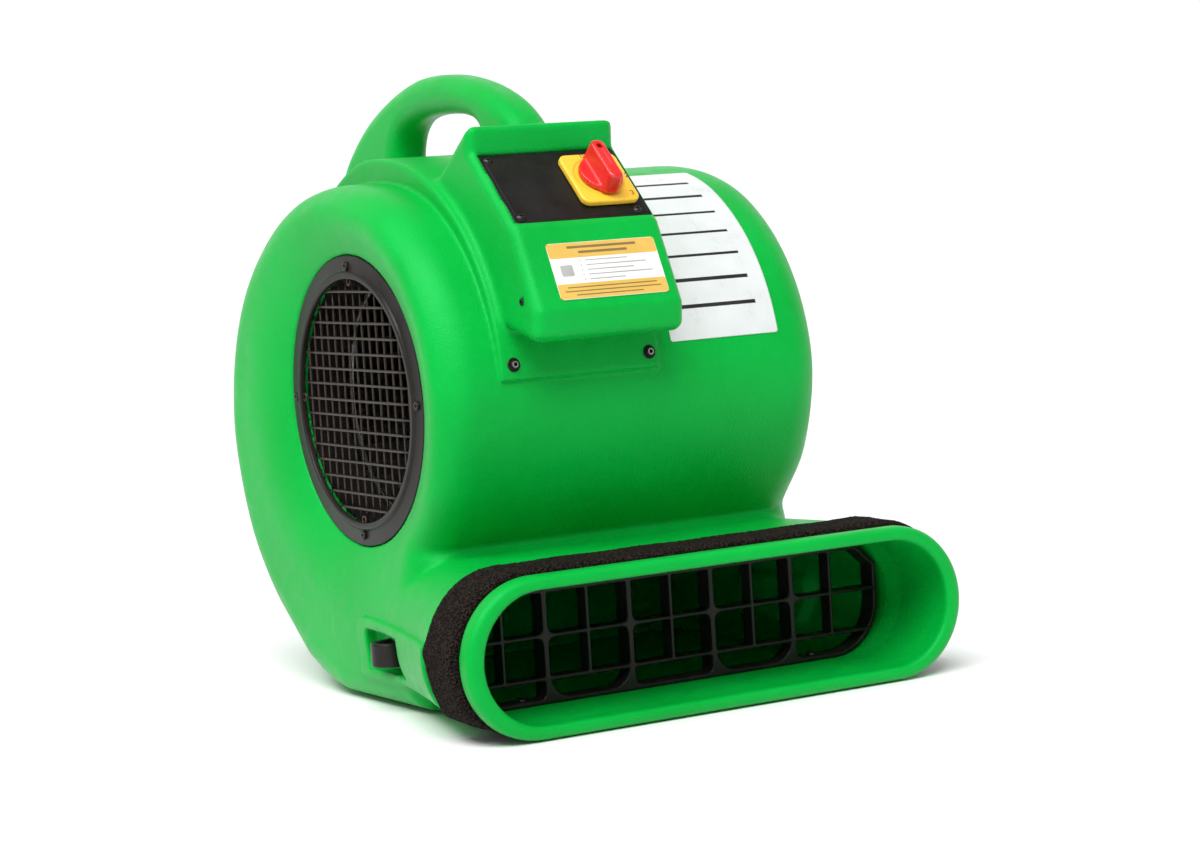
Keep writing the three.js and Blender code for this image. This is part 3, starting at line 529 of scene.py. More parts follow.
vol_pts = [[-118, BASE_Z - 14], [40, BASE_Z - 14], [80, BASE_Z + 1], [112, BASE_Z + 14]] + catmull([pol(a, r) for a, r in VOLUTE], 170) + [[-118, -122]]
pad_out = [pol(a, volute_r(a) + 2.6 + (9.5 * min(1, max(0, (174 - a) / 60)) + 6.0 * min(1, max(0, (120 - a) / 30))) * (0.3 + 0.7 * min(1, (a - 60) / 16))) for a in np.arange(60, 174.01, 3)]
pad_in = [pol(a, 150) for a in np.arange(174, 59, -6)]
box_pts = fillet([[-130, 216], [-128.5, 194.5], [-190.5, 134.5], [-221, 70], [-219, 50], [-211, 46.5], [-171, 57], [-120, 60], [-60, 110], [-60, 168], [-73, 178], [-121, 212.5]],
                 [4, 1.2, 4, 5, 7, 6, 2, 2, 2, 2, 6, 5], 5)
han_out = [[-112, 176], [-117, 196], [-115, 214], [-101, 227.5], [-81, 239], [-56, 248.5], [-28, 255.5], [5, 260.3], [38, 261], [66, 258], [110, 245.5], [148, 228.5], [175, 210.5], [195, 192.5], [209, 172], [219, 147], [224, 120], [225, 92], [218, 60]]
han_in = [[180, 60], [130, 118], [102, 150], [97.5, 176], [95.5, 197], [89, 211], [75, 221.5], [50, 227.5], [10, 228.5], [-22, 226], [-44, 219.5], [-55, 209], [-58, 195], [-60, 170], [-85, 150], [-105, 160]]
han_pts = catmull(han_out, 120) + catmull(han_in, 100)
T_vol = Table(vol_pts, (-190, -262), (262, 196), 1.5)
T_pad = Table(pad_out + pad_in, (-200, -10), (150, 215), 1.5)
T_box = Table(box_pts, (-240, 30), (-40, 235), 1.0)
T_han = Table(han_pts, (-170, 40), (250, 280), 1.5)

SN_Y = np.array([-300, -206.5, -202.5, -170, -118, -66, -14, 60], np.float32)
SN_A = np.array([219, 219, 222.6, 212.5, 199.5, 188.5, 182.5, 182], np.float32)
SN_B = np.array([54.6, 54.6, 60.8, 61.2, 61.2, 61.2, 61.2, 61.2], np.float32)


def stadium_d(x, z, a, b):
    return np.sqrt(np.maximum(np.abs(x) - (a - b), 0) ** 2 + (z - OUT_Z) ** 2) - b


def rect_d(y, z, cy, cz, hw, hh, r):
    qy, qz = np.abs(y - cy) - hw + r, np.abs(z - cz) - hh + r
    return np.minimum(np.maximum(qy, qz), 0) + np.sqrt(np.maximum(qy, 0) ** 2 + np.maximum(qz, 0) ** 2) - r


PANEL_W, PANEL_H = 119.0, 79.0
PD = np.array([-0.7256, -0.6881]); PNn = np.array([-0.6881, 0.7256])
PC = np.array([-127.6, 191.4]) + PD * PANEL_H / 2
PFRAME = np.array([[1, 0, 0], [0, -PD[0], -PD[1]], [0, PNn[0], PNn[1]]]).T      # columns u, v, n


def panel_point(u, v, n=0.0):
    return np.array([BOX_X, PC[0], PC[1]]) + PFRAME @ np.array([u, v, n], float)


def base_body(x, y, z, ax, r):
    dv = T_vol(y, z)
    drum = rounded(dv, ax - 182.0, 35.0)
    dish = (ax - (167.6 + 0.50 * np.maximum(r - 119.5, 0))) * 0.894
    drum = smax(drum, dish, 13.0)
    a = np.interp(y, SN_Y, SN_A).astype(np.float32); b = np.interp(y, SN_Y, SN_B).astype(np.float32)
    s = stadium_d(x, z, a, b)
    s = np.maximum(np.maximum(s, y - 40.0), -262.0 - y)
    k = 3.0 + 4.5 * np.clip((z + 165.0) / 40.0, 0, 1)
    return smin(drum, s, k)


def housing_sdf(x, y, z):
    ax = np.abs(x); r = np.sqrt(y * y + z * z)
    core = base_body(x, y, z, ax, r)
    box = rounded(T_box(y, z), np.abs(x - BOX_X) - BOX_HALF, 8.0)
    inner = np.minimum(core, box) + WALL
    # raised band, box, handle
    pad = rounded(T_pad(y, z) - 1.3, np.abs(x + 54.5) - 72.5, 2.0)
    out = smin(core, pad, 1.2)
    out = smin(out, box, 6.0)
    han = rounded(T_han(y, z), np.abs(x - BOX_X) - HANDLE_HALF, 15.0)
    out = smin(out, han, 11.0)
    # rims and recesses beside the outlet
    ridge = smax(core - 4.4, rect_d(y, z, -138.0, -197.0, 124.0, 25.0, 9.0), 2.0)
    ridge = np.maximum(ridge, 150.0 - ax)
    out = smin(out, ridge, 2.0)
    rec = rect_d(y, z, -72.0, -197.0, 41.0, 16.6, 6.0)
    cut = np.maximum(np.maximum(rec, -(core + 7.5)), 150.0 - ax)
    out = smax(out, -cut, 1.6)
    rec2 = rect_d(y, z, -236.0, -197.0, 31.0, 16.6, 5.0)
    cut = np.maximum(np.maximum(rec2, -(core + 1.0)), 150.0 - ax)
    out = smax(out, -cut, 2.0)
    inner = inner + 8.0 * np.clip((7.0 - rec) / 7.0, 0, 1) * (ax > 140)
    # flat underside
    out = smax(out, BASE_Z - z, 5.0 + 11.0 * np.clip((y + 205.0) / 50.0, 0, 1))
    inner = np.maximum(inner, BASE_Z + WALL - z)
    # lip
    lip = rounded(stadium_d(x, z, 226.0, 61.6), np.abs(y + 267.5) - 9.5, 6.5)
    out = smin(out, lip, 2.5)
    # mouth and duct
    inner = np.maximum(inner, -176.0 - y)
    am = np.interp(y, np.array([-300, -279, -273, -215, -200, -170], np.float32), np.array([213.3, 213.3, 211.3, 210.5, 206.0, 206.0], np.float32)).astype(np.float32)
    bm_ = np.interp(y, np.array([-300, -279, -273, -170], np.float32), np.array([52.4, 52.4, 50.6, 50.6], np.float32)).astype(np.float32)
    mouth = np.maximum(stadium_d(x, z, am, bm_), y + 170.0)
    inner = smin(inner, mouth, 3.0)
    F = smax(out, -inner, 1.5)
    # panel recess, window behind it
    py, pz = y - PC[0], z - PC[1]
    u = x - BOX_X
    v = -PD[0] * py - PD[1] * pz
    n = PNn[0] * py + PNn[1] * pz
    pr = rect_d(u, v, 2.5, 0.0, PANEL_W / 2 + 2.9, PANEL_H / 2 + 0.5, 3.5)
    F = smax(F, -np.maximum(pr, -2.8 - n), 0.9)
    win = rect_d(u, v, 0.0, 0.0, PANEL_W / 2 - 13, PANEL_H / 2 - 11, 4.0)
    F = smax(F, -np.maximum(np.maximum(win, -22.0 - n), n - 12), 1.0)
    # inlets
    F = smax(F, -np.maximum(r - 119.2, 164.0 - ax), 1.0)
    F = smax(F, -np.maximum(r - 101.5, 120.0 - ax), 1.0)
    # vent hole in the left of the box, cord entry in the right
    hole = np.sqrt((y + 199.2) ** 2 + (z - 78.3) ** 2) - 2.7
    F = smax(F, -np.maximum(hole, x + 108.0), 0.6)
    gl = np.sqrt((y + 178.0) ** 2 + (z - 92.0) ** 2) - 9.3
    F = smax(F, -np.maximum(gl, np.abs(x - 12.0) - 10.0), 0.6)
    return F


st = 1.0
gx = axis_grid(-232, 232, 3.6 * st, [(-130, -92, 2.4 * st), (-92, 4, 3.0 * st), (4, 22, 2.4 * st), (-231, -192, 3.2 * st), (-192, -166, 2.2 * st), (166, 192, 2.2 * st)])
gy = axis_grid(-283, 250, 3.6 * st, [(-280, -252, 2.0 * st), (-252, -236, 3.0 * st), (-236, -110, 2.4 * st), (-212, -198, 2.0 * st), (-110, -20, 3.0 * st)])
gz = axis_grid(-250, 270, 3.5 * st, [(-250, -118, 2.8 * st), (40, 232, 2.6 * st)])
hv, hf = surface_nets(housing_sdf, gx, gy, gz)
housing = new_object("housing_shell", W(hv), hf, GREEN, "housing")
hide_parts("housing")
print("housing quads", len(hf))


def small_sdf(name, f, box, h, mat, body="housing", frame_=None, replaces=None):
    """a fine surface-net piece; f in local mm, frame_ = (origin, 3x3) takes it to the axle frame"""
    (x0, x1), (y0, y1), (z0, z1) = box
    gs = [np.arange(a - 2 * h, b + 3 * h, h) for a, b in ((x0, x1), (y0, y1), (z0, z1))]
    v, q = surface_nets(f, *gs)
    if frame_ is not None:
        v = v @ np.asarray(frame_[1]).T + np.asarray(frame_[0])
    o = new_object(name, W(v), q, mat, body)
    if replaces:
        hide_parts(*([replaces] if isinstance(replaces, str) else replaces))
    return o


# ------------------------------------------------------------------ outlet grille
PITCH, RAILS, GY0 = 38.3, (-180.0, -213.5), -197.0
GZB, GZT, GA = OUT_Z - 50.6 + 0.5, -143.0, 199.0
g_out = []
for i in range(9):
    q = math.pi + (math.pi / 2) * i / 8
    g_out.append([-(GA - 44) + 44 * math.cos(q), GZB + 44 + 44 * math.sin(q)])
for i in range(9):
    q = 1.5 * math.pi + (math.pi / 2) * i / 8
    g_out.append([GA - 44 + 44 * math.cos(q), GZB + 44 + 44 * math.sin(q)])
g_out += [[GA, GZT - 17], [GA - 19, GZT], [-(GA - 19), GZT], [-GA, GZT - 17]]
T_gr = Table(g_out, (-206, -240), (206, -136), 0.8)


def grille_sdf(x, y, z):
    t = (y - GY0) / 17.0
    taper = 0.35 * np.clip(t, 0, 1)
    do = T_gr(x, z)
    frame_ring = np.maximum(do, -(do + 3.4 + taper))
    d = frame_ring + 0.0 * y
    for zr in RAILS:
        d = smin(d, np.maximum(np.abs(z - zr) - 1.45 - taper, y - (GY0 + 13.5)), 1.4)
    for k in range(-4, 5):
        main = abs(k) % 2 == 1
        w = 2.15 if main else 1.3
        bar = np.abs(x - k * PITCH) - w - taper
        if not main:
            bar = np.maximum(np.maximum(bar, RAILS[1] - z), y - (GY0 + 13.5))
        d = smin(d, bar, 1.6 if main else 1.2)
        if main:
            star = (np.abs(x - k * PITCH) + np.abs(z - RAILS[0])) * 0.707 - 4.6
            d = smin(d, np.maximum(star, y - (GY0 + 13)), 3.0)
            star = (np.abs(x - k * PITCH) + np.abs(z - RAILS[1])) * 0.707 - 2.6
            d = smin(d, np.maximum(star, y - (GY0 + 12)), 2.0)
    # rounded lower cells
    zb = GZB + 3.2
    for k, s, r in [(-3, 1, 19), (-1, -1, 19), (1, 1, 19), (3, -1, 19), (-3, -1, 7), (-1, 1, 7), (1, -1, 7), (3, 1, 7)]:
        cx, cz = k * PITCH + s * (2.0 + r), zb + r
        px, pz = (x - cx) * s, z - cz
        web = np.maximum(np.maximum(r - np.sqrt(px * px + pz * pz), px), pz)
        web = np.maximum(np.maximum(web, -px - r - 2.0), -pz - r - 3.0)
        d = smin(d, np.maximum(web, y - (GY0 + 15)), 1.0)
    for sx in (-136.0, 136.0):
        d = smin(d, np.maximum(np.abs(x - sx) - 9, z - (GZB + 3.4)), 1.0)
    d = np.maximum(d, do)
    return smax(d, np.abs(y - (GY0 + 8.5)) - 8.5, 0.9)


gs = 1.0
gv, gf = surface_nets(grille_sdf, np.arange(-202, 202.5, 1.15 * gs), axis_grid(GY0 - 3, GY0 + 20, 3.2, [(GY0 - 3, GY0 + 1.5, 1.1 * gs), (GY0 + 12, GY0 + 20, 1.6 * gs)]), np.arange(GZB - 3, GZT + 4, 1.1 * gs))
grille = new_object("outlet_guard", W(gv), gf, BLACK, "housing")
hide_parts("outlet_grille")

# ------------------------------------------------------------------ inlets
TWO_PI = 2 * math.pi


def tube(path, radius, sides=8, closed=False, tip=0.35):
    """vertices and faces of a round bar along a path, ends slightly rounded"""
    P = np.asarray(path, float); n = len(P)
    T = np.gradient(P, axis=0) if not closed else np.roll(P, -1, 0) - np.roll(P, 1, 0)
    T /= np.linalg.norm(T, axis=1)[:, None]
    up = np.array([1.0, 0, 0]) if abs(T[0][0]) < 0.8 else np.array([0, 0, 1.0])
    V = []
    N = None
    for i in range(n):
        a = up if N is None else N
        N = a - T[i] * a.dot(T[i]); N /= np.linalg.norm(N)
        B = np.cross(T[i], N)
        rr = radius * (tip if (not closed and i in (0, n - 1)) else 1.0)
        for k in range(sides):
            t = TWO_PI * k / sides
            V.append(P[i] + rr * (math.cos(t) * N + math.sin(t) * B))
    F = []
    for i in range(n if closed else n - 1):
        j = (i + 1) % n
        for k in range(sides):
            m = (k + 1) % sides
            F.append((i * sides + k, i * sides + m, j * sides + m, j * sides + k))
    if not closed:
        F.append(tuple(range(sides))[::-1]); F.append(tuple((n - 1) * sides + k for k in range(sides)))
    return V, F


def joined(name, parts, mat, body="housing", deg=40, smooth_only=False):
    V, F, o = [], [], 0
    for v, f in parts:
        V += [np.asarray(p, float) for p in v]
        F += [tuple(i + o for i in t) for t in f]
        o += len(v)
    ob = new_object(name, W(np.array(V)), F, mat, body)
    bm = bmesh.new(); bm.from_mesh(ob.data)
    bmesh.ops.recalc_face_normals(bm, faces=bm.faces)
    bm.to_mesh(ob.data); bm.free()
    if not smooth_only:
        sharp_by_angle(ob, deg)
    return ob


ring_prof = [[105.2, 164.2], [118.0, 164.2], [118.5, 164.8]] + arc(117.6, 166.9, 0.9, 0, 90, 4) + [[106.9, 167.8], [106.2, 168.1], [105.5, 168.9]] + \
    arc(103.6, 168.7, 1.5, 40, 90, 3) + arc(101.0, 168.7, 1.5, 90, 180, 4) + [[99.5, 166.4], [105.2, 166.4]]
for s, side in ((-1, "left"), (1, "right")):
    o = lathe(f"inlet_rim_{side}", ring_prof, 144, [0, 0, 0], [s, 0, 0], RINGM, deg=40)
    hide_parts(f"inlet_ring_{side}")
    # black sleeve inside the rim: a spigot of the ring that also serves as painted shade, hiding the green inner wall
    # behind the mesh where the inlet is in shadow
    lathe(f"inlet_sleeve_{side}", [[99.7, 128.0], [100.9, 128.0], [100.9, 162.4], [99.7, 162.4]], 96, [0, 0, 0], [s, 0, 0], RINGM, deg=40)
    parts = []
    R0, wr = 102.6, 1.12
    xf, xb = s * (165.0 + wr), s * (165.0 - wr)      # level bars in front, upright bars behind
    for k in range(-7, 8):
        c = k * 12.7
        L = math.sqrt(R0 ** 2 - c * c) - 0.4
        wob = 0.35 * math.sin(k * 2.3 + s)
        ts = np.linspace(-1, 1, 9)
        parts.append(tube([[xf + 0.12 * math.sin(5 * t + k), L * t, c + wob * (1 - t * t) * 0.6] for t in ts], wr, 8))
        parts.append(tube([[xb, c + wob * (1 - t * t) * 0.5, L * t] for t in ts], wr, 8))
    parts.append(tube([[s * 165.0, 102.9 * math.cos(TWO_PI * i / 96), 102.9 * math.sin(TWO_PI * i / 96)] for i in range(96)], 1.25, 8, closed=True))
    # small formed eyelets that key the guard in its rim at the four screws
    for q in range(4):
        a = q * math.pi / 2
        cy, cz = 97.6 * math.sin(a), 97.6 * math.cos(a)
        parts.append(tube([[xf + s * 0.9, cy + 3.1 * math.cos(TWO_PI * i / 20), cz + 3.1 * math.sin(TWO_PI * i / 20)] for i in range(20)], 0.95, 6, closed=True))
    o = joined(f"inlet_mesh_{side}", parts, WIREM, smooth_only=True)
    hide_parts(f"inlet_grille_{side}")


def socket_head(name, at, axis, base, r, h, mat, body="housing", washer=None, bore=2.0, replaces=None):
    """cap screw with a hexagon-like socket, optional washer under it; heights along axis"""
    if washer:
        wr_, wt = washer
        o1 = lathe(name + "_washer", [[2.2, base], [wr_, base], [wr_ + 0.15, base + 0.2], [wr_, base + wt], [2.2, base + wt]], 40, at, axis, mat, body)
        base += wt
    prof = [[0, base - 6], [1.9, base - 6], [1.9, base]] + [[r, base], [r, base + h * 0.55]] + \
        [[r - 0.35 * r * (1 - math.cos(math.radians(t))), base + h * 0.55 + h * 0.45 * math.sin(math.radians(t))] for t in (25, 50, 75, 90)] + \
        [[bore + 0.12, base + h], [bore, base + h - 0.15], [bore * 0.9, base + h * 0.35], [0, base + h * 0.28]]
    o = lathe(name, prof, 36, at, axis, mat, body, deg=35)
    if replaces:
        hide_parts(replaces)
    return o


CLOCK = ["top", "rear", "bottom", "front"]
for s, side in ((-1, "left"), (1, "right")):
    for k in range(4):
        a = k * math.pi / 2
        socket_head(f"rim_screw_{side}_{CLOCK[k]}", [0, 109.9 * math.sin(a), 109.9 * math.cos(a)], [s, 0, 0], 168.2, 3.7, 2.1, SCREWB,
                    bore=1.5, replaces=f"ring_screw_{side}_{CLOCK[k]}")

# ------------------------------------------------------------------ foam strip
def foam_strip():
    """open-cell strip lying round the duct neck, a little wavy, riding over the ridges"""
    rng = np.random.RandomState(7)
    # centre line of the neck outline, by arc length, starting at the lower left
    A, B = 219.6, 55.2
    straight = 2 * (A - B); arcL = math.pi * B
    per = 2 * straight + 2 * arcL
    nL = 420
    nW = 26
    def point(s, off):
        s = s % per
        if s < arcL:                                   # left end, from bottom to top
            t = -math.pi / 2 - s / B
            return -(A - B) + (B + off) * math.cos(t), (B + off) * math.sin(t)
        s -= arcL
        if s < straight:                               # top, left to right
            return -(A - B) + s, B + off
        s -= straight
        if s < arcL:                                   # right end
            t = math.pi / 2 - s / B
            return (A - B) + (B + off) * math.cos(t), (B + off) * math.sin(t)
        s -= arcL
        return (A - B) - s, -(B + off)                 # bottom, right to left
    y0, y1, T = -257.4, -210.0, 10.3
    prof = []                                          # section: u across the width, w outward
    for i in range(nW + 1):
        u = i / nW
        prof.append((y0 + (y1 - y0) * u, 1))
    V, F = [], []
    sec = nW + 1
    rows = []
    wav = [rng.rand() * 6.28 for _ in range(8)]
    for j in range(nL):
        s = per * j / nL
        x, z = point(s, 0)
        zz = z + OUT_Z
        # ridges at z = -176.5 and -217.5 on both ends lift the strip
        lift = 0.0
        if abs(x) > 190:
            for zr in (-176.5, -217.5):
                lift += 3.3 * math.exp(-((zz - zr) / 6.5) ** 2)
            lift += -0.6 * math.exp(-((zz + 197) / 10.0) ** 2)
        bottom = zz < -232 and abs(x) < 185
        edge0 = 0.45 * math.sin(s * 0.05 + wav[0]) + 0.35 * math.sin(s * 0.13 + wav[1]) + rng.randn() * 0.10
        edge1 = 1.5 * math.sin(s * 0.021 + wav[2]) + 0.8 * math.sin(s * 0.07 + wav[3]) + rng.randn() * 0.16
        zrel = z + 52.0
        Ts = 5.2 + (T - 5.2) * min(1.0, max(0.0, zrel / 26.0))
        row = []
        for i in range(sec):
            u = i / nW
            y = y0 + edge0 * (1 - u) * 0.5 + (y1 - y0 + edge1) * u
            e = min(u, 1 - u) * (y1 - y0)
            crown = Ts * (0.74 + 0.26 * min(1, e / 6.0) ** 0.5) + 0.25 * math.sin(s * 0.09 + u * 7 + wav[4]) * (0 if bottom else 1) + rng.randn() * (0.16 if not bottom else 0.05)
            if bottom:
                crown = min(crown, 5.4)
            px, pz = point(s, crown + lift * (0.5 + 0.5 * min(1, e / 4)))
            row.append(len(V)); V.append([px, y, pz + OUT_Z])
        for i in (1.0, 0.0):                           # inner corners
            y = y0 + (y1 - y0) * i + (edge1 if i else edge0 * 0.5)
            px, pz = point(s, 0.15)
            row.append(len(V)); V.append([px, y, pz + OUT_Z])
        rows.append(row)
    m = sec + 2
    for j in range(nL):
        a, b = rows[j], rows[(j + 1) % nL]
        for i in range(m):
            k = (i + 1) % m
            F.append((a[i], a[k], b[k], b[i]))
    o = new_object("foam_strip", W(np.array(V)), F, FOAM, "housing")
    bm = bmesh.new(); bm.from_mesh(o.data); bmesh.ops.recalc_face_normals(bm, faces=bm.faces); bm.to_mesh(o.data); bm.free()
    return o


foam = foam_strip()
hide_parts("foam_gasket")

# ------------------------------------------------------------------ outlet screws, tie loops, feet
def pan_cross(name, at, axis, base, r, h, mat, body="housing", replaces=None):
    """domed head with a cross recess, heights along axis"""
    ax_ = Vector(axis).normalized()
    q = ax_.to_track_quat("Z", "Y").to_matrix()
    R = np.array([[q[i][j] for j in range(3)] for i in range(3)])
    Rs = (r * r + h * h) / (2 * h)

    def f(x, y, z):
        rr = np.sqrt(x * x + y * y)
        d = np.sqrt(rr * rr + (z - h + Rs) ** 2) - Rs
        d = np.maximum(d, rr - r)
        d = np.maximum(d, -z - 1.0)
        taper = (z - h) * 0.35
        cr = np.minimum(np.maximum(np.abs(x) - 0.42 - taper * 0.3, np.abs(y) - r * 0.52 - taper), np.maximum(np.abs(y) - 0.42 - taper * 0.3, np.abs(x) - r * 0.52 - taper))
        return smax(d, -np.maximum(cr, h - 1.5 - z), 0.25)

    return small_sdf(name, f, ((-r, r), (-r, r), (-1, h)), 0.32, mat, body, (np.array(at, float) + base * np.array(ax_), R), replaces)


for s, side in ((-1, "left"), (1, "right")):
    pan_cross(f"guard_screw_{side}", [s * 136.0, -189.0, GZB], [0, 0, 1], 4.6, 4.3, 2.6, SCREWB, replaces=f"outlet_grille_screw_{side}")
    # tie-down loop: bent round bar on two flat eyes
    LY, LZ = -72.0, -197.0
    x0 = s * 179.6
    pth = []
    rb, wd = 12.2, 12.2
    for t in np.linspace(0, 1, 7):
        pth.append([x0 + s * (-0.5 + 9 * t), LY - wd, LZ])
    for t in np.linspace(0, 180, 19)[1:-1]:
        pth.append([x0 + s * (8.5 + rb * math.sin(math.radians(t)) * 0.92), LY - wd * math.cos(math.radians(t)), LZ])
    for t in np.linspace(1, 0, 7):
        pth.append([x0 + s * (-0.5 + 9 * t), LY + wd, LZ])
    
    def loop_sdf(x, y, z, _p=np.array(pth), _s=s, _x=x0):
        xq, yq_ = _s * (x - _x) - 8.2, y + 72.0
        ring_ = np.where(xq > 0, np.sqrt(xq * xq + yq_ * yq_), np.abs(yq_)) - 12.2
        d = rounded(np.abs(ring_) - 2.8, np.abs(z + 197.0) - 9.6, 1.6)
        d = np.maximum(d, -xq - 8.6)
        xx = _s * (x - _x)
        pl = rect_d(y, z, -72.0, -197.0, 25.0, 9.0, 8.9)
        pl = rounded(pl, np.abs(xx - 0.9) - 1.3, 0.8)
        return smin(d, pl, 2.0)

    xr = (min(x0, x0 + s * 22), max(x0, x0 + s * 22))
    small_sdf(f"tie_down_{side}", loop_sdf, ((xr[0] - 1, xr[1] + 1), (LY - 26, LY + 26), (LZ - 12, LZ + 12)), 0.85, BLACK, replaces=f"tie_loop_{side}")
    for dy, end in ((-19.5, "front"), (19.5, "rear")):
        pan_cross(f"tie_screw_{side}_{end}", [0, LY + dy, LZ], [s, 0, 0], 181.8, 3.3, 1.9, SCREWB, replaces=f"tie_loop_screw_{side}_{end}")

for fx, sx in ((-1, "left"), (1, "right")):
    for (px, py, fr) in ((150, -170, "front"), (118, 40, "rear")):
        prof = [[0, -4.0], [7.5, -4.0]] + arc(9.6, -2.2, 2.0, 270, 360, 4) + [[11.8, 0.0], [12.0, 0.0], [12.0, -0.05]]
        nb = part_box(f"foot_{fr}_{sx}")
        zb_, zt_ = nb[0].z, nb[1].z
        h = (zt_ - zb_) * 1000
        prof = [[2.2, 1.2], [2.6, 0.35], [3.1, 0.0], [10.2, 0.0]] + arc(10.6, 1.3, 1.3, 270, 360, 4) + [[12.0, h], [0, h], [0, 1.2]]
        c = [(nb[0].x + nb[1].x) / 2 * 1000, ((nb[0].y + nb[1].y) / 2 - OY) * 1000, (zb_ - OZ) * 1000]
        o = lathe(f"rubber_foot_{fr}_{sx}", prof, 40, c, [0, 0, 1], RUBBER, deg=40)
        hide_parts(f"foot_{fr}_{sx}")

# ------------------------------------------------------------------ control panel
PF = (panel_point(0, 0, 0), PFRAME)


def panel_sdf(x, y, z):
    d = rect_d(x, y, 2.5, 0, 61.7, 39.3, 3.2)
    d = rounded(d, np.abs(z + 1.0) - 1.5, 0.7)
    # narrow parting groove inside the border and a shaft hole
    rim = np.abs(rect_d(x, y, 2.5, 0, 59.0, 36.8, 2.4)) - 0.35
    d = smax(d, -np.maximum(rim, 0.15 - z), 0.25)
    d = smax(d, -np.maximum(np.sqrt((x - 32) ** 2 + (y - 1) ** 2) - 5.2, -4 - z), 0.3)
    for su in (-52.5, 52.5):
        for sv in (-32.5, 32.5):
            d = smax(d, -(np.sqrt((x - su) ** 2 + (y - sv) ** 2) - 1.9), 0.3)
    return d


pgx = axis_grid(-61, 66.5, 2.2, [(-61, -48, 0.8), (48, 66.5, 0.8), (25, 39, 1.0)])
pgy = axis_grid(-41, 41, 2.0, [(-41, -30, 0.8), (30, 41, 0.8), (-6, 8, 1.0)])
pv, pq = surface_nets(panel_sdf, pgx, pgy, np.arange(-4.0, 2.4, 0.6))
o = new_object("panel_plate", W(pv @ PFRAME.T + PF[0]), pq, PANEL, "housing")
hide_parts("control_panel")

SWU, SWV = 32.0, 1.0


def plate_sdf(x, y, z):
    d = rect_d(x, y, SWU, SWV, 26.0, 27.5, 7.0)
    d = rounded(d, np.abs(z - 3.7) - 2.9, 1.8)
    rr = np.sqrt((x - SWU) ** 2 + (y - SWV) ** 2)
    # shallow dished well the knob sits in, with a fine ring
    d = smax(d, -np.maximum(rr - 21.2, 6.0 - z), 0.7)
    d = smax(d, -(rr - 4.4), 0.4)
    return d


yv, yq = surface_nets(plate_sdf, np.arange(SWU - 28, SWU + 28.5, 0.8), np.arange(SWV - 29.5, SWV + 30, 0.8), np.arange(-1.0, 8.4, 0.7))
o = new_object("switch_bezel", W(yv @ PFRAME.T + PF[0]), yq, YELLOW, "housing")
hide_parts("switch_plate")


def knob_sdf(x, y, z):
    rr = np.sqrt(x * x + y * y)
    base = np.maximum(rr - 18.3 + np.maximum(z - 9.5, 0) * 0.25, np.abs(z - 9.6) - 2.2)
    base = rounded(rr - 18.3, np.abs(z - 9.6) - 2.3, 1.4)
    flute = 0.16 * np.cos(np.arctan2(y, x) * 36) * np.clip((rr - 16) / 2, 0, 1)
    base = base + flute * 0.6
    g = rect_d(x, y, 0, 0, 7.3 - np.maximum(z - 12, 0) * 0.09, 22.0, 5.2)
    g = rounded(g, np.abs(z - 17.2) - 9.6, 2.6)
    d = smin(base, g, 3.2)
    rec = np.maximum(np.sqrt(x * x + (y - 14.5) ** 2) - 2.75, 15.2 - z)
    d = smax(d, -rec, 0.5)
    # pointer groove on the grip
    line = np.maximum(np.abs(x) - 0.55, np.maximum(np.abs(y - 1.5) - 9.0, 26.3 - z))
    d = smax(d, -line, 0.3)
    stem = np.maximum(rr - 2.9, np.abs(z) - 9)
    stem = np.maximum(stem, -6.4 - z)
    return np.minimum(d, stem)


kv, kq = surface_nets(knob_sdf, np.arange(-20, 20.5, 0.62), np.arange(-24, 24.5, 0.62), np.arange(-8, 29, 0.7))
kc = panel_point(SWU, SWV, 0)
o = new_object("selector_knob", W(kv @ PFRAME.T + kc), kq, RED, "knob")
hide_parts("switch_knob")

pn_axis = PFRAME[:, 2]
o = lathe("selector_screw", [[0, 12.6], [2.2, 12.6], [2.2, 14.4], [1.8, 14.9], [1.1, 15.05], [0.9, 14.3], [0, 14.2]], 24, list(panel_point(SWU, SWV + 14.5, 0)), list(pn_axis), STEEL, body="knob", deg=35)
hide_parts("knob_screw")

k = 0
for su in (-52.5, 52.5):
    for sv in (-32.5, 32.5):
        k += 1
        at = panel_point(su, sv, 0)
        best = min(range(1, 5), key=lambda i: sum((a - b) ** 2 for a, b in zip(((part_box(f"panel_screw_{i}")[0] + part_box(f"panel_screw_{i}")[1]) / 2)[:], W(at))))
        pan_cross(f"panel_fixing_{best}", list(at), list(pn_axis), 0.6, 4.1, 2.4, SCREWB, replaces=f"panel_screw_{best}")

# ------------------------------------------------------------------ digits round the dial, drawn as thin raised strokes
STROKES = {
    "0": [[(0, 0.25), (0, 0.75), (0.25, 1), (0.5, 1), (0.75, 0.75), (0.75, 0.25), (0.5, 0), (0.25, 0), (0, 0.25)]],
    "1": [[(0.15, 0.75), (0.4, 1), (0.4, 0)]],
    "2": [[(0.05, 0.8), (0.25, 1), (0.5, 1), (0.72, 0.8), (0.72, 0.6), (0.05, 0), (0.75, 0)]],
    "3": [[(0.05, 0.9), (0.25, 1), (0.5, 1), (0.72, 0.8), (0.6, 0.55), (0.35, 0.52), (0.6, 0.48), (0.75, 0.25), (0.5, 0), (0.25, 0), (0.03, 0.12)]],
}


def stroke_quads(path, w):
    V, F = [], []
    P = np.array(path, float)
    for i in range(len(P) - 1):
        a, b = P[i], P[i + 1]
        t = (b - a) / np.linalg.norm(b - a)
        n = np.array([-t[1], t[0]]) * w / 2
        a2, b2 = a - t * w * 0.3, b + t * w * 0.3
        o_ = len(V)
        V += [a2 - n, b2 - n, b2 + n, a2 + n]
        F.append((o_, o_ + 1, o_ + 2, o_ + 3))
    return V, F


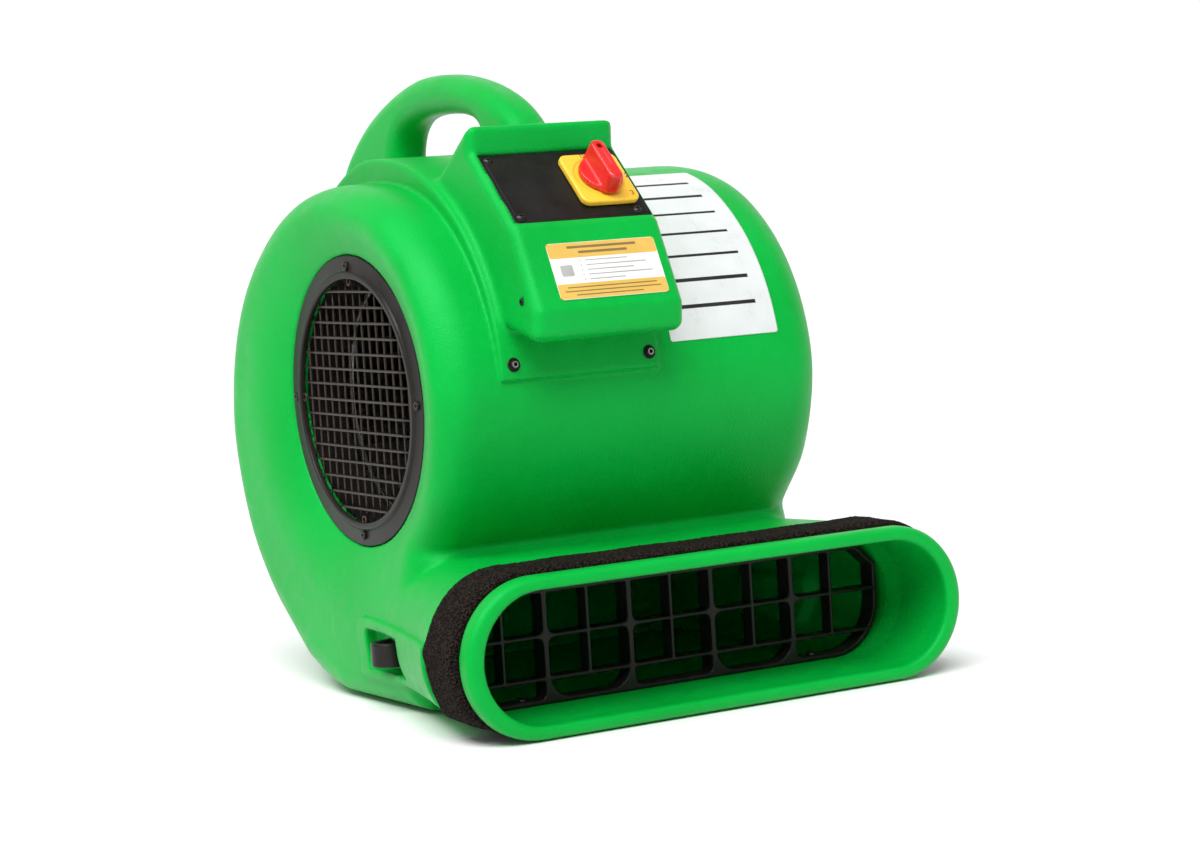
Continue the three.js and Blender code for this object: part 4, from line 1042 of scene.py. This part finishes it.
def raised_strokes(name, items, frame_fn, n0, n1, mat, body="housing"):
    """items: list of (path, width) in plane coordinates -> thin raised bars"""
    V, F = [], []
    for path, w in items:
        v2, f2 = stroke_quads(path, w)
        for q in range(0, len(v2), 4):
            o_ = len(V)
            for p in v2[q:q + 4]:
                V.append(frame_fn(p[0], p[1], n0))
            for p in v2[q:q + 4]:
                V.append(frame_fn(p[0], p[1], n1))
            F += [(o_, o_ + 3, o_ + 2, o_ + 1), (o_ + 4, o_ + 5, o_ + 6, o_ + 7)]
            for i in range(4):
                j = (i + 1) % 4
                F.append((o_ + i, o_ + j, o_ + 4 + j, o_ + 4 + i))
    return new_object(name, W(np.array(V)), F, mat, body, smooth=False)


items = []
for ch, deg in (("0", 90), ("1", 45), ("2", 0), ("3", -45)):
    size = 4.4
    rad = 24.6 if deg in (90, 0) else 28.6
    cx, cy = SWU + rad * math.cos(math.radians(deg)), SWV + rad * math.sin(math.radians(deg))
    if deg == 90:
        cx -= 4.5
    for path in STROKES[ch]:
        items.append(([(cx + (px - 0.38) * size * 0.8, cy + (py - 0.5) * size) for px, py in path], 0.62))
raised_strokes("dial_numbers", items, lambda a, b, n: panel_point(a, b, n), 6.4, 6.72, DIGIT)

# ------------------------------------------------------------------ information label on the hood front
L0, L1 = np.array([-190.5, 134.5]), np.array([-221.0, 70.0])
LT = (L1 - L0) / np.linalg.norm(L1 - L0)                 # down the front plane
LN = np.array([LT[1], -LT[0]])                           # outward
if LN[0] > 0:
    LN = -LN
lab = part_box("info_label")
LCX = (lab[0].x + lab[1].x) / 2 * 1000
LC = L0 + LT * np.linalg.norm(L1 - L0) * 0.55


def label_point(u, v, n):
    p = LC - LT * v + LN * n
    return [LCX + u, p[0], p[1]]


def strip_plate(name, point, polys, n0, n1, mat, body="housing"):
    """flat convex polygons given in plane coordinates -> thin plates"""
    V, F = [], []
    for poly in polys:
        m = len(poly); o_ = len(V)
        for n in (n0, n1):
            for a, b in poly:
                V.append(point(a, b, n))
        F.append(tuple(range(o_ + m - 1, o_ - 1, -1))); F.append(tuple(range(o_ + m, o_ + 2 * m)))
        for i in range(m):
            j = (i + 1) % m
            F.append((o_ + i, o_ + j, o_ + m + j, o_ + m + i))
    o = new_object(name, W(np.array(V, float)), F, mat, body, smooth=False)
    bm = bmesh.new(); bm.from_mesh(o.data); bmesh.ops.recalc_face_normals(bm, faces=bm.faces); bm.to_mesh(o.data); bm.free()
    return o


def rrect(cx, cy, w, h, r, n=6):
    out = []
    for sx, sy, a in ((1, 1, 0), (-1, 1, 90), (-1, -1, 180), (1, -1, 270)):
        for i in range(n + 1):
            t = math.radians(a + 90 * i / n)
            out.append((cx + sx * (w / 2 - r) + r * math.cos(t), cy + sy * (h / 2 - r) + r * math.sin(t)))
    return out


LW, LH = 97.4, 47.4
WHITE = plastic_material("label_white", (0.80, 0.80, 0.76), rough=0.42, var=0.04, grain=300, strength=0.03)
AMBER = plastic_material("label_amber", (0.66, 0.42, 0.085), rough=0.42, var=0.05, grain=300, strength=0.03)
INK = plastic_material("label_ink", (0.008, 0.008, 0.009), rough=0.45, var=0.1, grain=300, strength=0.03)
GREY = plastic_material("label_grey", (0.36, 0.36, 0.35), rough=0.5, var=0.1, grain=300, strength=0.03)
lb = strip_plate("label_sheet", label_point, [rrect(0, 0, LW, LH, 3.0)], 0.30, 0.62, WHITE)
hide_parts("info_label")
strip_plate("label_bands", label_point, [rrect(0, LH / 2 - 6.6, LW - 0.4, 12.6, 1.6), rrect(0, -LH / 2 + 6.6, LW - 0.4, 12.6, 1.6)], 0.62, 0.68, AMBER)
rules, brown = [], []
for i, (u0, u1) in enumerate([(-18, 20), (-18, 36), (-18, 24), (-18, 40), (-18, 14)]):
    v = 8.2 - i * 4.0
    rules.append(rrect((u0 + u1) / 2, v, u1 - u0, 0.95, 0.4, 2))
    rules.append(rrect(-22.5, v, 1.3, 1.3, 0.6, 3))
rules.append(rrect(-36, 0.2, 11, 9.5, 1.6, 4))
strip_plate("label_rules", label_point, rules, 0.62, 0.69, GREY)
TAN = plastic_material("label_tan", (0.22, 0.14, 0.045), rough=0.5, var=0.1, grain=300, strength=0.03)
for u, v, w_, h_ in [(0, 19.6, 62, 2.0), (0, 15.2, 44, 2.0), (0, -14.0, 80, 0.9), (0, -17.2, 86, 0.9), (-4, -20.4, 60, 0.9)]:
    brown.append(rrect(u, v, w_, h_, h_ * 0.4, 3))
strip_plate("label_bars", label_point, brown, 0.68, 0.75, TAN)

# ------------------------------------------------------------------ decal wrapped on the drum front
DX0, DX1, DA0, DA1 = 31.0, 136.0, 104.0, 168.6
DR = 173.4                                                # developed radius
DLEN = math.radians(DA1 - DA0) * DR


T_A = np.linspace(60, 200, 141)
T_R = np.array([volute_r(a) for a in T_A])


def smooth_r(deg):
    t = math.radians(deg)
    # radius of the drawn outline of the drum at this angle
    d = T_vol(np.array([[0.0]]), np.array([[0.0]]))
    lo_, hi_ = 150.0, 215.0
    for _ in range(22):
        m_ = (lo_ + hi_) / 2
        val = float(np.ravel(T_vol(np.array([m_ * math.cos(t)], np.float32), np.array([m_ * math.sin(t)], np.float32)))[0])
        if val < 0:
            lo_ = m_
        else:
            hi_ = m_
    return (lo_ + hi_) / 2


DEC_A = np.linspace(DA0 - 2, DA1 + 2, 80)
DEC_R = np.array([smooth_r(a) for a in DEC_A])


def decal_point(u, v, n):
    """u across (mm from the left edge), v down the front from the top edge"""
    a = DA0 + (DA1 - DA0) * v / DLEN
    r = float(np.interp(a, DEC_A, DEC_R)) + n
    return [DX0 + u, r * math.cos(math.radians(a)), r * math.sin(math.radians(a))]


def wrapped(name, inside, du, dv, n0, n1, mat, box=None):
    """a thin film on the drum, cut by an inside(u, v) test on a fine grid"""
    u0, u1, v0, v1 = box or (0, DX1 - DX0, 0, DLEN)
    nu, nv = int((u1 - u0) / du) + 1, int((v1 - v0) / dv) + 1
    us = np.linspace(u0, u1, nu + 1); vs = np.linspace(v0, v1, nv + 1)
    U, Vv = np.meshgrid(us, vs, indexing="ij")
    f = inside(U, Vv)
    bm = bmesh.new()
    cache = {}

    def vert(i, j):
        key = (i, j)
        if key not in cache:
            cache[key] = bm.verts.new(Vector(W(np.array(decal_point(us[i], vs[j], n1)))))
        return cache[key]

    for i in range(nu):
        for j in range(nv):
            c = f[i:i + 2, j:j + 2]
            if (c < 0).sum() >= 3:
                try:
                    bm.faces.new([vert(i, j), vert(i + 1, j), vert(i + 1, j + 1), vert(i, j + 1)])
                except ValueError:
                    pass
    me = bpy.data.meshes.new(name)
    bmesh.ops.recalc_face_normals(bm, faces=bm.faces)
    res = bmesh.ops.solidify(bm, geom=bm.faces[:], thickness=(n1 - n0) / 1000)
    bmesh.ops.recalc_face_normals(bm, faces=bm.faces)
    bm.to_mesh(me); bm.free()
    o = bpy.data.objects.new(name, me)
    bpy.context.scene.collection.objects.link(o)
    me.materials.append(mat)
    for p in me.polygons:
        p.use_smooth = True
    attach(o, "housing")
    return o


DW = DX1 - DX0
SILVER = plastic_material("decal_silver", (0.66, 0.69, 0.68), rough=0.30, var=0.05, grain=260, strength=0.04, coat=0.2)


def f_rect(U, V, cu, cv, hw, hh, r):
    qu, qv = np.abs(U - cu) - hw + r, np.abs(V - cv) - hh + r
    return np.minimum(np.maximum(qu, qv), 0) + np.hypot(np.maximum(qu, 0), np.maximum(qv, 0)) - r


sheet = wrapped("decal_sheet", lambda U, V: f_rect(U, V, DW / 2, DLEN / 2, DW / 2, DLEN / 2, 6), 1.0, 1.0, 0.35, 0.62, SILVER)
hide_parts("drum_decal")


def plain_rules(U, V):
    """straight rules of one size, evenly spaced down the film"""
    d = np.full(U.shape, 1e3)
    for k in range(7):
        d = np.minimum(d, f_rect(U, V, DW / 2, DLEN / 2 + 23.0 * (k - 3), DW / 2 - 16, 1.8, 1.0))
    return d


film_step = 0.8
wrapped("decal_rules", plain_rules, film_step, film_step, 0.62, 0.72, INK, box=(10, DW - 10, 20, DLEN - 20))

# ------------------------------------------------------------------ raised band screws on black washers
for nm in ("pad_screw_left", "pad_screw_right"):
    lo_, hi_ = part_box(nm)
    c = (lo_ + hi_) / 2
    py = (c.y - OY) * 1000; pz = 29.0
    ang = math.degrees(math.atan2(pz, py))
    ang = 180 - math.degrees(math.asin(29.0 / 174.0))
    d = [0, math.cos(math.radians(ang)), math.sin(math.radians(ang))]
    xc = c.x * 1000
    pad_r = volute_r(ang) + 2.6 + 9.5 * min(1, max(0, (174 - ang) / 60))
    lathe(nm + "_cup", [[2.0, pad_r - 0.4], [5.5, pad_r - 0.4], [5.6, pad_r + 1.6], [5.1, pad_r + 2.2], [4.2, pad_r + 2.3], [2.0, pad_r + 2.3]], 44, [xc, 0, 0], d, BLACK, deg=35)
    prof = [[0, pad_r - 8], [1.9, pad_r - 8], [1.9, pad_r + 2.2], [3.5, pad_r + 2.2], [3.6, pad_r + 3.2], [3.3, pad_r + 3.9], [2.5, pad_r + 4.3], [1.5, pad_r + 4.35], [1.4, pad_r + 2.6], [0, pad_r + 2.5]]
    o = lathe(nm + "_head", prof, 32, [xc, 0, 0], d, SCREWB, deg=35)
    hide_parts(nm)
    lathe(nm + "_rim", [[1.5, pad_r + 4.1], [2.7, pad_r + 4.1], [2.6, pad_r + 4.5], [1.6, pad_r + 4.5]], 32, [xc, 0, 0], d, STEEL, deg=35)

# small plug in the lower left corner of the box
lathe("box_plug", [[0, 0.2], [0, 2.2], [1.0, 2.3], [1.1, 3.6], [2.4, 3.7], [2.9, 3.1], [3.0, 0.2]], 28, [-116.2, -199.2, 78.3], [-1, 0, 0], BLACK, deg=35)

# ------------------------------------------------------------------ cord gland
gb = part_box("cord_gland")
gy_, gz_ = ((gb[0].y + gb[1].y) / 2 - OY) * 1000, ((gb[0].z + gb[1].z) / 2 - OZ) * 1000
gx0, gx1 = gb[0].x * 1000, gb[1].x * 1000
bx = BOX_X + BOX_HALF
prof = [[3.4, gx0], [8.6, gx0], [8.8, gx0 + 0.6], [8.8, bx + 0.3], [12.4, bx + 0.3], [12.9, bx + 0.9], [12.9, bx + 3.6], [12.3, bx + 4.4], [9.6, bx + 4.9]]
hh = gx1 - (bx + 4.9)
for i in range(1, 6):
    prof += [[9.6 - i * 0.55, bx + 4.9 + hh * (i - 0.45) / 5.2], [9.2 - i * 0.55, bx + 4.9 + hh * i / 5.2]]
prof += [[6.0, gx1 - 0.3], [5.2, gx1], [3.9, gx1 - 0.2], [3.4, gx1 - 1.2]]
o = lathe("lead_gland", prof, 48, [0, gy_, gz_], [1, 0, 0], BLACK, deg=35)
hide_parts("cord_gland")

# ------------------------------------------------------------------ fan wheel
HALFW, RW, RI, NB = 124.0, 118.0, 99.0, 40
imp_parts = []
# thin curved blades between two end rings, with a centre plate
pan = []
for k in range(NB):
    a0 = TWO_PI * k / NB
    rows = []
    for t in np.linspace(0, 1, 7):
        r_ = RI + 0.8 + (RW - RI - 2.2) * t
        sw = math.radians(-9.5 * t - 5.5 * t * t)
        rows.append((r_, a0 + sw))
    xs_ = [-HALFW + 1.5, -40, 40, HALFW - 1.5]
    V, F = [], []
    for side_ in (-0.45, 0.45):
        for (r_, a_) in rows:
            for xx in xs_:
                da = side_ / r_
                V.append([xx, r_ * math.cos(a_ + da), r_ * math.sin(a_ + da)])
    nr, nx_ = len(rows), len(xs_)
    def idx(s_, i, j):
        return s_ * nr * nx_ + i * nx_ + j
    for i in range(nr - 1):
        for j in range(nx_ - 1):
            F.append((idx(0, i, j), idx(0, i + 1, j), idx(0, i + 1, j + 1), idx(0, i, j + 1)))
            F.append((idx(1, i, j), idx(1, i, j + 1), idx(1, i + 1, j + 1), idx(1, i + 1, j)))
    for j in range(nx_ - 1):
        F.append((idx(0, 0, j), idx(0, 0, j + 1), idx(1, 0, j + 1), idx(1, 0, j)))
        F.append((idx(0, nr - 1, j), idx(1, nr - 1, j), idx(1, nr - 1, j + 1), idx(0, nr - 1, j + 1)))
    for i in range(nr - 1):
        F.append((idx(0, i, 0), idx(1, i, 0), idx(1, i + 1, 0), idx(0, i + 1, 0)))
        F.append((idx(0, i, nx_ - 1), idx(0, i + 1, nx_ - 1), idx(1, i + 1, nx_ - 1), idx(1, i, nx_ - 1)))
    imp_parts.append((V, F))
# blades take the darkened steel, whose colour paints the shade they sit in
blades = joined("fan_blades", imp_parts, FAN_SHADED_STEEL, body="wheel", deg=30)
for s, side in ((-1, "left"), (1, "right")):
    lathe(f"fan_ring_{side}", [[RI - 0.6, s * (HALFW - 3.2)], [RW, s * (HALFW - 3.2)], [RW, s * HALFW], [RI - 0.2, s * HALFW], [RI - 1.6, s * (HALFW - 0.6)]], 96, [0, 0, 0], [1, 0, 0], STEEL, body="wheel", deg=35)
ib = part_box("impeller")
hub = lathe("fan_hub", [[7.9, -22], [15, -22], [15.6, -21.2], [15.6, -3], [18, -2.0], [60, -2.0], [66, -4.0], [84, -4.0], [90, -2.0], [RW - 1, -2.0], [RW - 1, 0.3], [90, 0.3], [84, -1.8], [66, -1.8], [60, 0.3], [18, 0.3], [15.6, 0.5], [7.9, 0.5]], 96, [0, 0, 0], [1, 0, 0], STEEL, body="wheel", deg=35)
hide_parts("impeller")

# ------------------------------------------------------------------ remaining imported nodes: give each its material
NODE_MAT = {
    "switch_body": BLACK, "run_capacitor": ALLOY, "motor_case": ALLOY, "motor_end_cap_left": ALLOY, "motor_end_cap_right": ALLOY,
    "motor_stator": COPPER, "motor_rotor": STEEL, "motor_shaft": STEEL, "bearing_left": STEEL, "bearing_right": STEEL,
    "motor_bracket": SCREWB, "bracket_bolt_1": STEEL, "bracket_bolt_2": STEEL, "bracket_bolt_3": STEEL, "bracket_bolt_4": STEEL,
}
for o in list(bpy.data.objects):
    if o.type != "MESH":
        continue
    for key, m in NODE_MAT.items():
        if o.name == key or o.name.startswith(key + "."):
            o.data.materials.clear()
            o.data.materials.append(m)

# ------------------------------------------------------------------ camera, light, floor
C = Vector((-1.25285, -2.212045, 0.42071))
yaw, pit, rol = math.radians(30.50), math.radians(4.846), math.radians(-3.4985)
fw = Vector((math.sin(yaw) * math.cos(pit), math.cos(yaw) * math.cos(pit), -math.sin(pit)))
r0 = Vector((math.cos(yaw), -math.sin(yaw), 0))
u0 = r0.cross(fw)
Rv = r0 * math.cos(rol) + u0 * math.sin(rol)
Uv = u0 * math.cos(rol) - r0 * math.sin(rol)
cam_data = bpy.data.cameras.new("camera")
cam = bpy.data.objects.new("camera", cam_data)
bpy.context.scene.collection.objects.link(cam)
M = Matrix(((Rv.x, Uv.x, -fw.x, C.x), (Rv.y, Uv.y, -fw.y, C.y), (Rv.z, Uv.z, -fw.z, C.z), (0, 0, 0, 1)))
cam.matrix_world = M
cam_data.lens = 91.47
cam_data.sensor_width = 36.0
cam_data.clip_start, cam_data.clip_end = 0.05, 60
bpy.context.scene.camera = cam


def area(name, at, to, size, power, color=(1, 1, 1)):
    d = bpy.data.lights.new(name, "AREA")
    d.shape = "RECTANGLE"
    d.size, d.size_y = size
    d.energy = power
    d.color = color
    o = bpy.data.objects.new(name, d)
    bpy.context.scene.collection.objects.link(o)
    o.location = at
    o.rotation_euler = (Vector(to) - Vector(at)).to_track_quat("-Z", "Y").to_euler()
    return o


sun_d = bpy.data.lights.new("window", "SUN")
sun_d.energy = 2.85
sun_d.angle = math.radians(38)
sun = bpy.data.objects.new("window", sun_d)
bpy.context.scene.collection.objects.link(sun)
sun.rotation_euler = Vector((0.38, 0.46, -0.80)).to_track_quat("-Z", "Y").to_euler()
area("rim", (-1.5, -0.1, 1.9), (0, 0, 0.28), (0.35, 0.8), 16)
area("strip", (-0.4, -2.2, 2.0), (0.1, -0.1, 0.2), (1.5, 0.16), 9)

world = bpy.data.worlds.new("world") if not bpy.data.worlds else bpy.data.worlds[0]
bpy.context.scene.world = world
world.use_nodes = True
bg = world.node_tree.nodes.get("Background")
bg.inputs[0].default_value = (1, 1, 1, 1)
bg.inputs[1].default_value = 0.34

bpy.ops.mesh.primitive_plane_add(size=160, location=(0, 0, 0))
floor = bpy.context.object
floor.name = "studio_floor"
fm, fnt, fb = material("studio_floor", rough=0.7, spec=0.2)
fn = noise(fnt, 3.0)
fnt.links.new(mix(fnt, mapr(fnt, fn, 0.3, 0.7), (0.90, 0.90, 0.90, 1), (0.93, 0.93, 0.93, 1)), fb.inputs["Base Color"])
floor.data.materials.append(fm)

# plain backdrop well behind the object
bd_mesh = bpy.data.meshes.new("studio_backdrop")
bc = C + fw * 16.0
bh = Vector((r0.x, r0.y, 0)).normalized()
bv = [bc - bh * 22 + Vector((0, 0, -3)), bc + bh * 22 + Vector((0, 0, -3)), bc + bh * 22 + Vector((0, 0, 14)), bc - bh * 22 + Vector((0, 0, 14))]
bd_mesh.from_pydata([tuple(v) for v in bv], [], [(0, 1, 2, 3)])
backdrop = bpy.data.objects.new("studio_backdrop", bd_mesh)
bpy.context.scene.collection.objects.link(backdrop)
bm_, bnt, bb = material("studio_backdrop", rough=0.9, spec=0.0)
bn = noise(bnt, 0.6)
bcol = mix(bnt, mapr(bnt, bn, 0.0, 1.0, 0.3, 0.7), (0.97, 0.97, 0.97), (1.0, 1.0, 1.0))
bnt.links.new(bcol, bb.inputs["Emission Color"])
bb.inputs["Emission Strength"].default_value = 1.0
bb.inputs["Base Color"].default_value = (0.05, 0.05, 0.05, 1)
bd_mesh.materials.append(bm_)

bpy.context.scene.view_settings.view_transform = "Standard"
bpy.context.scene.view_settings.look = "None"
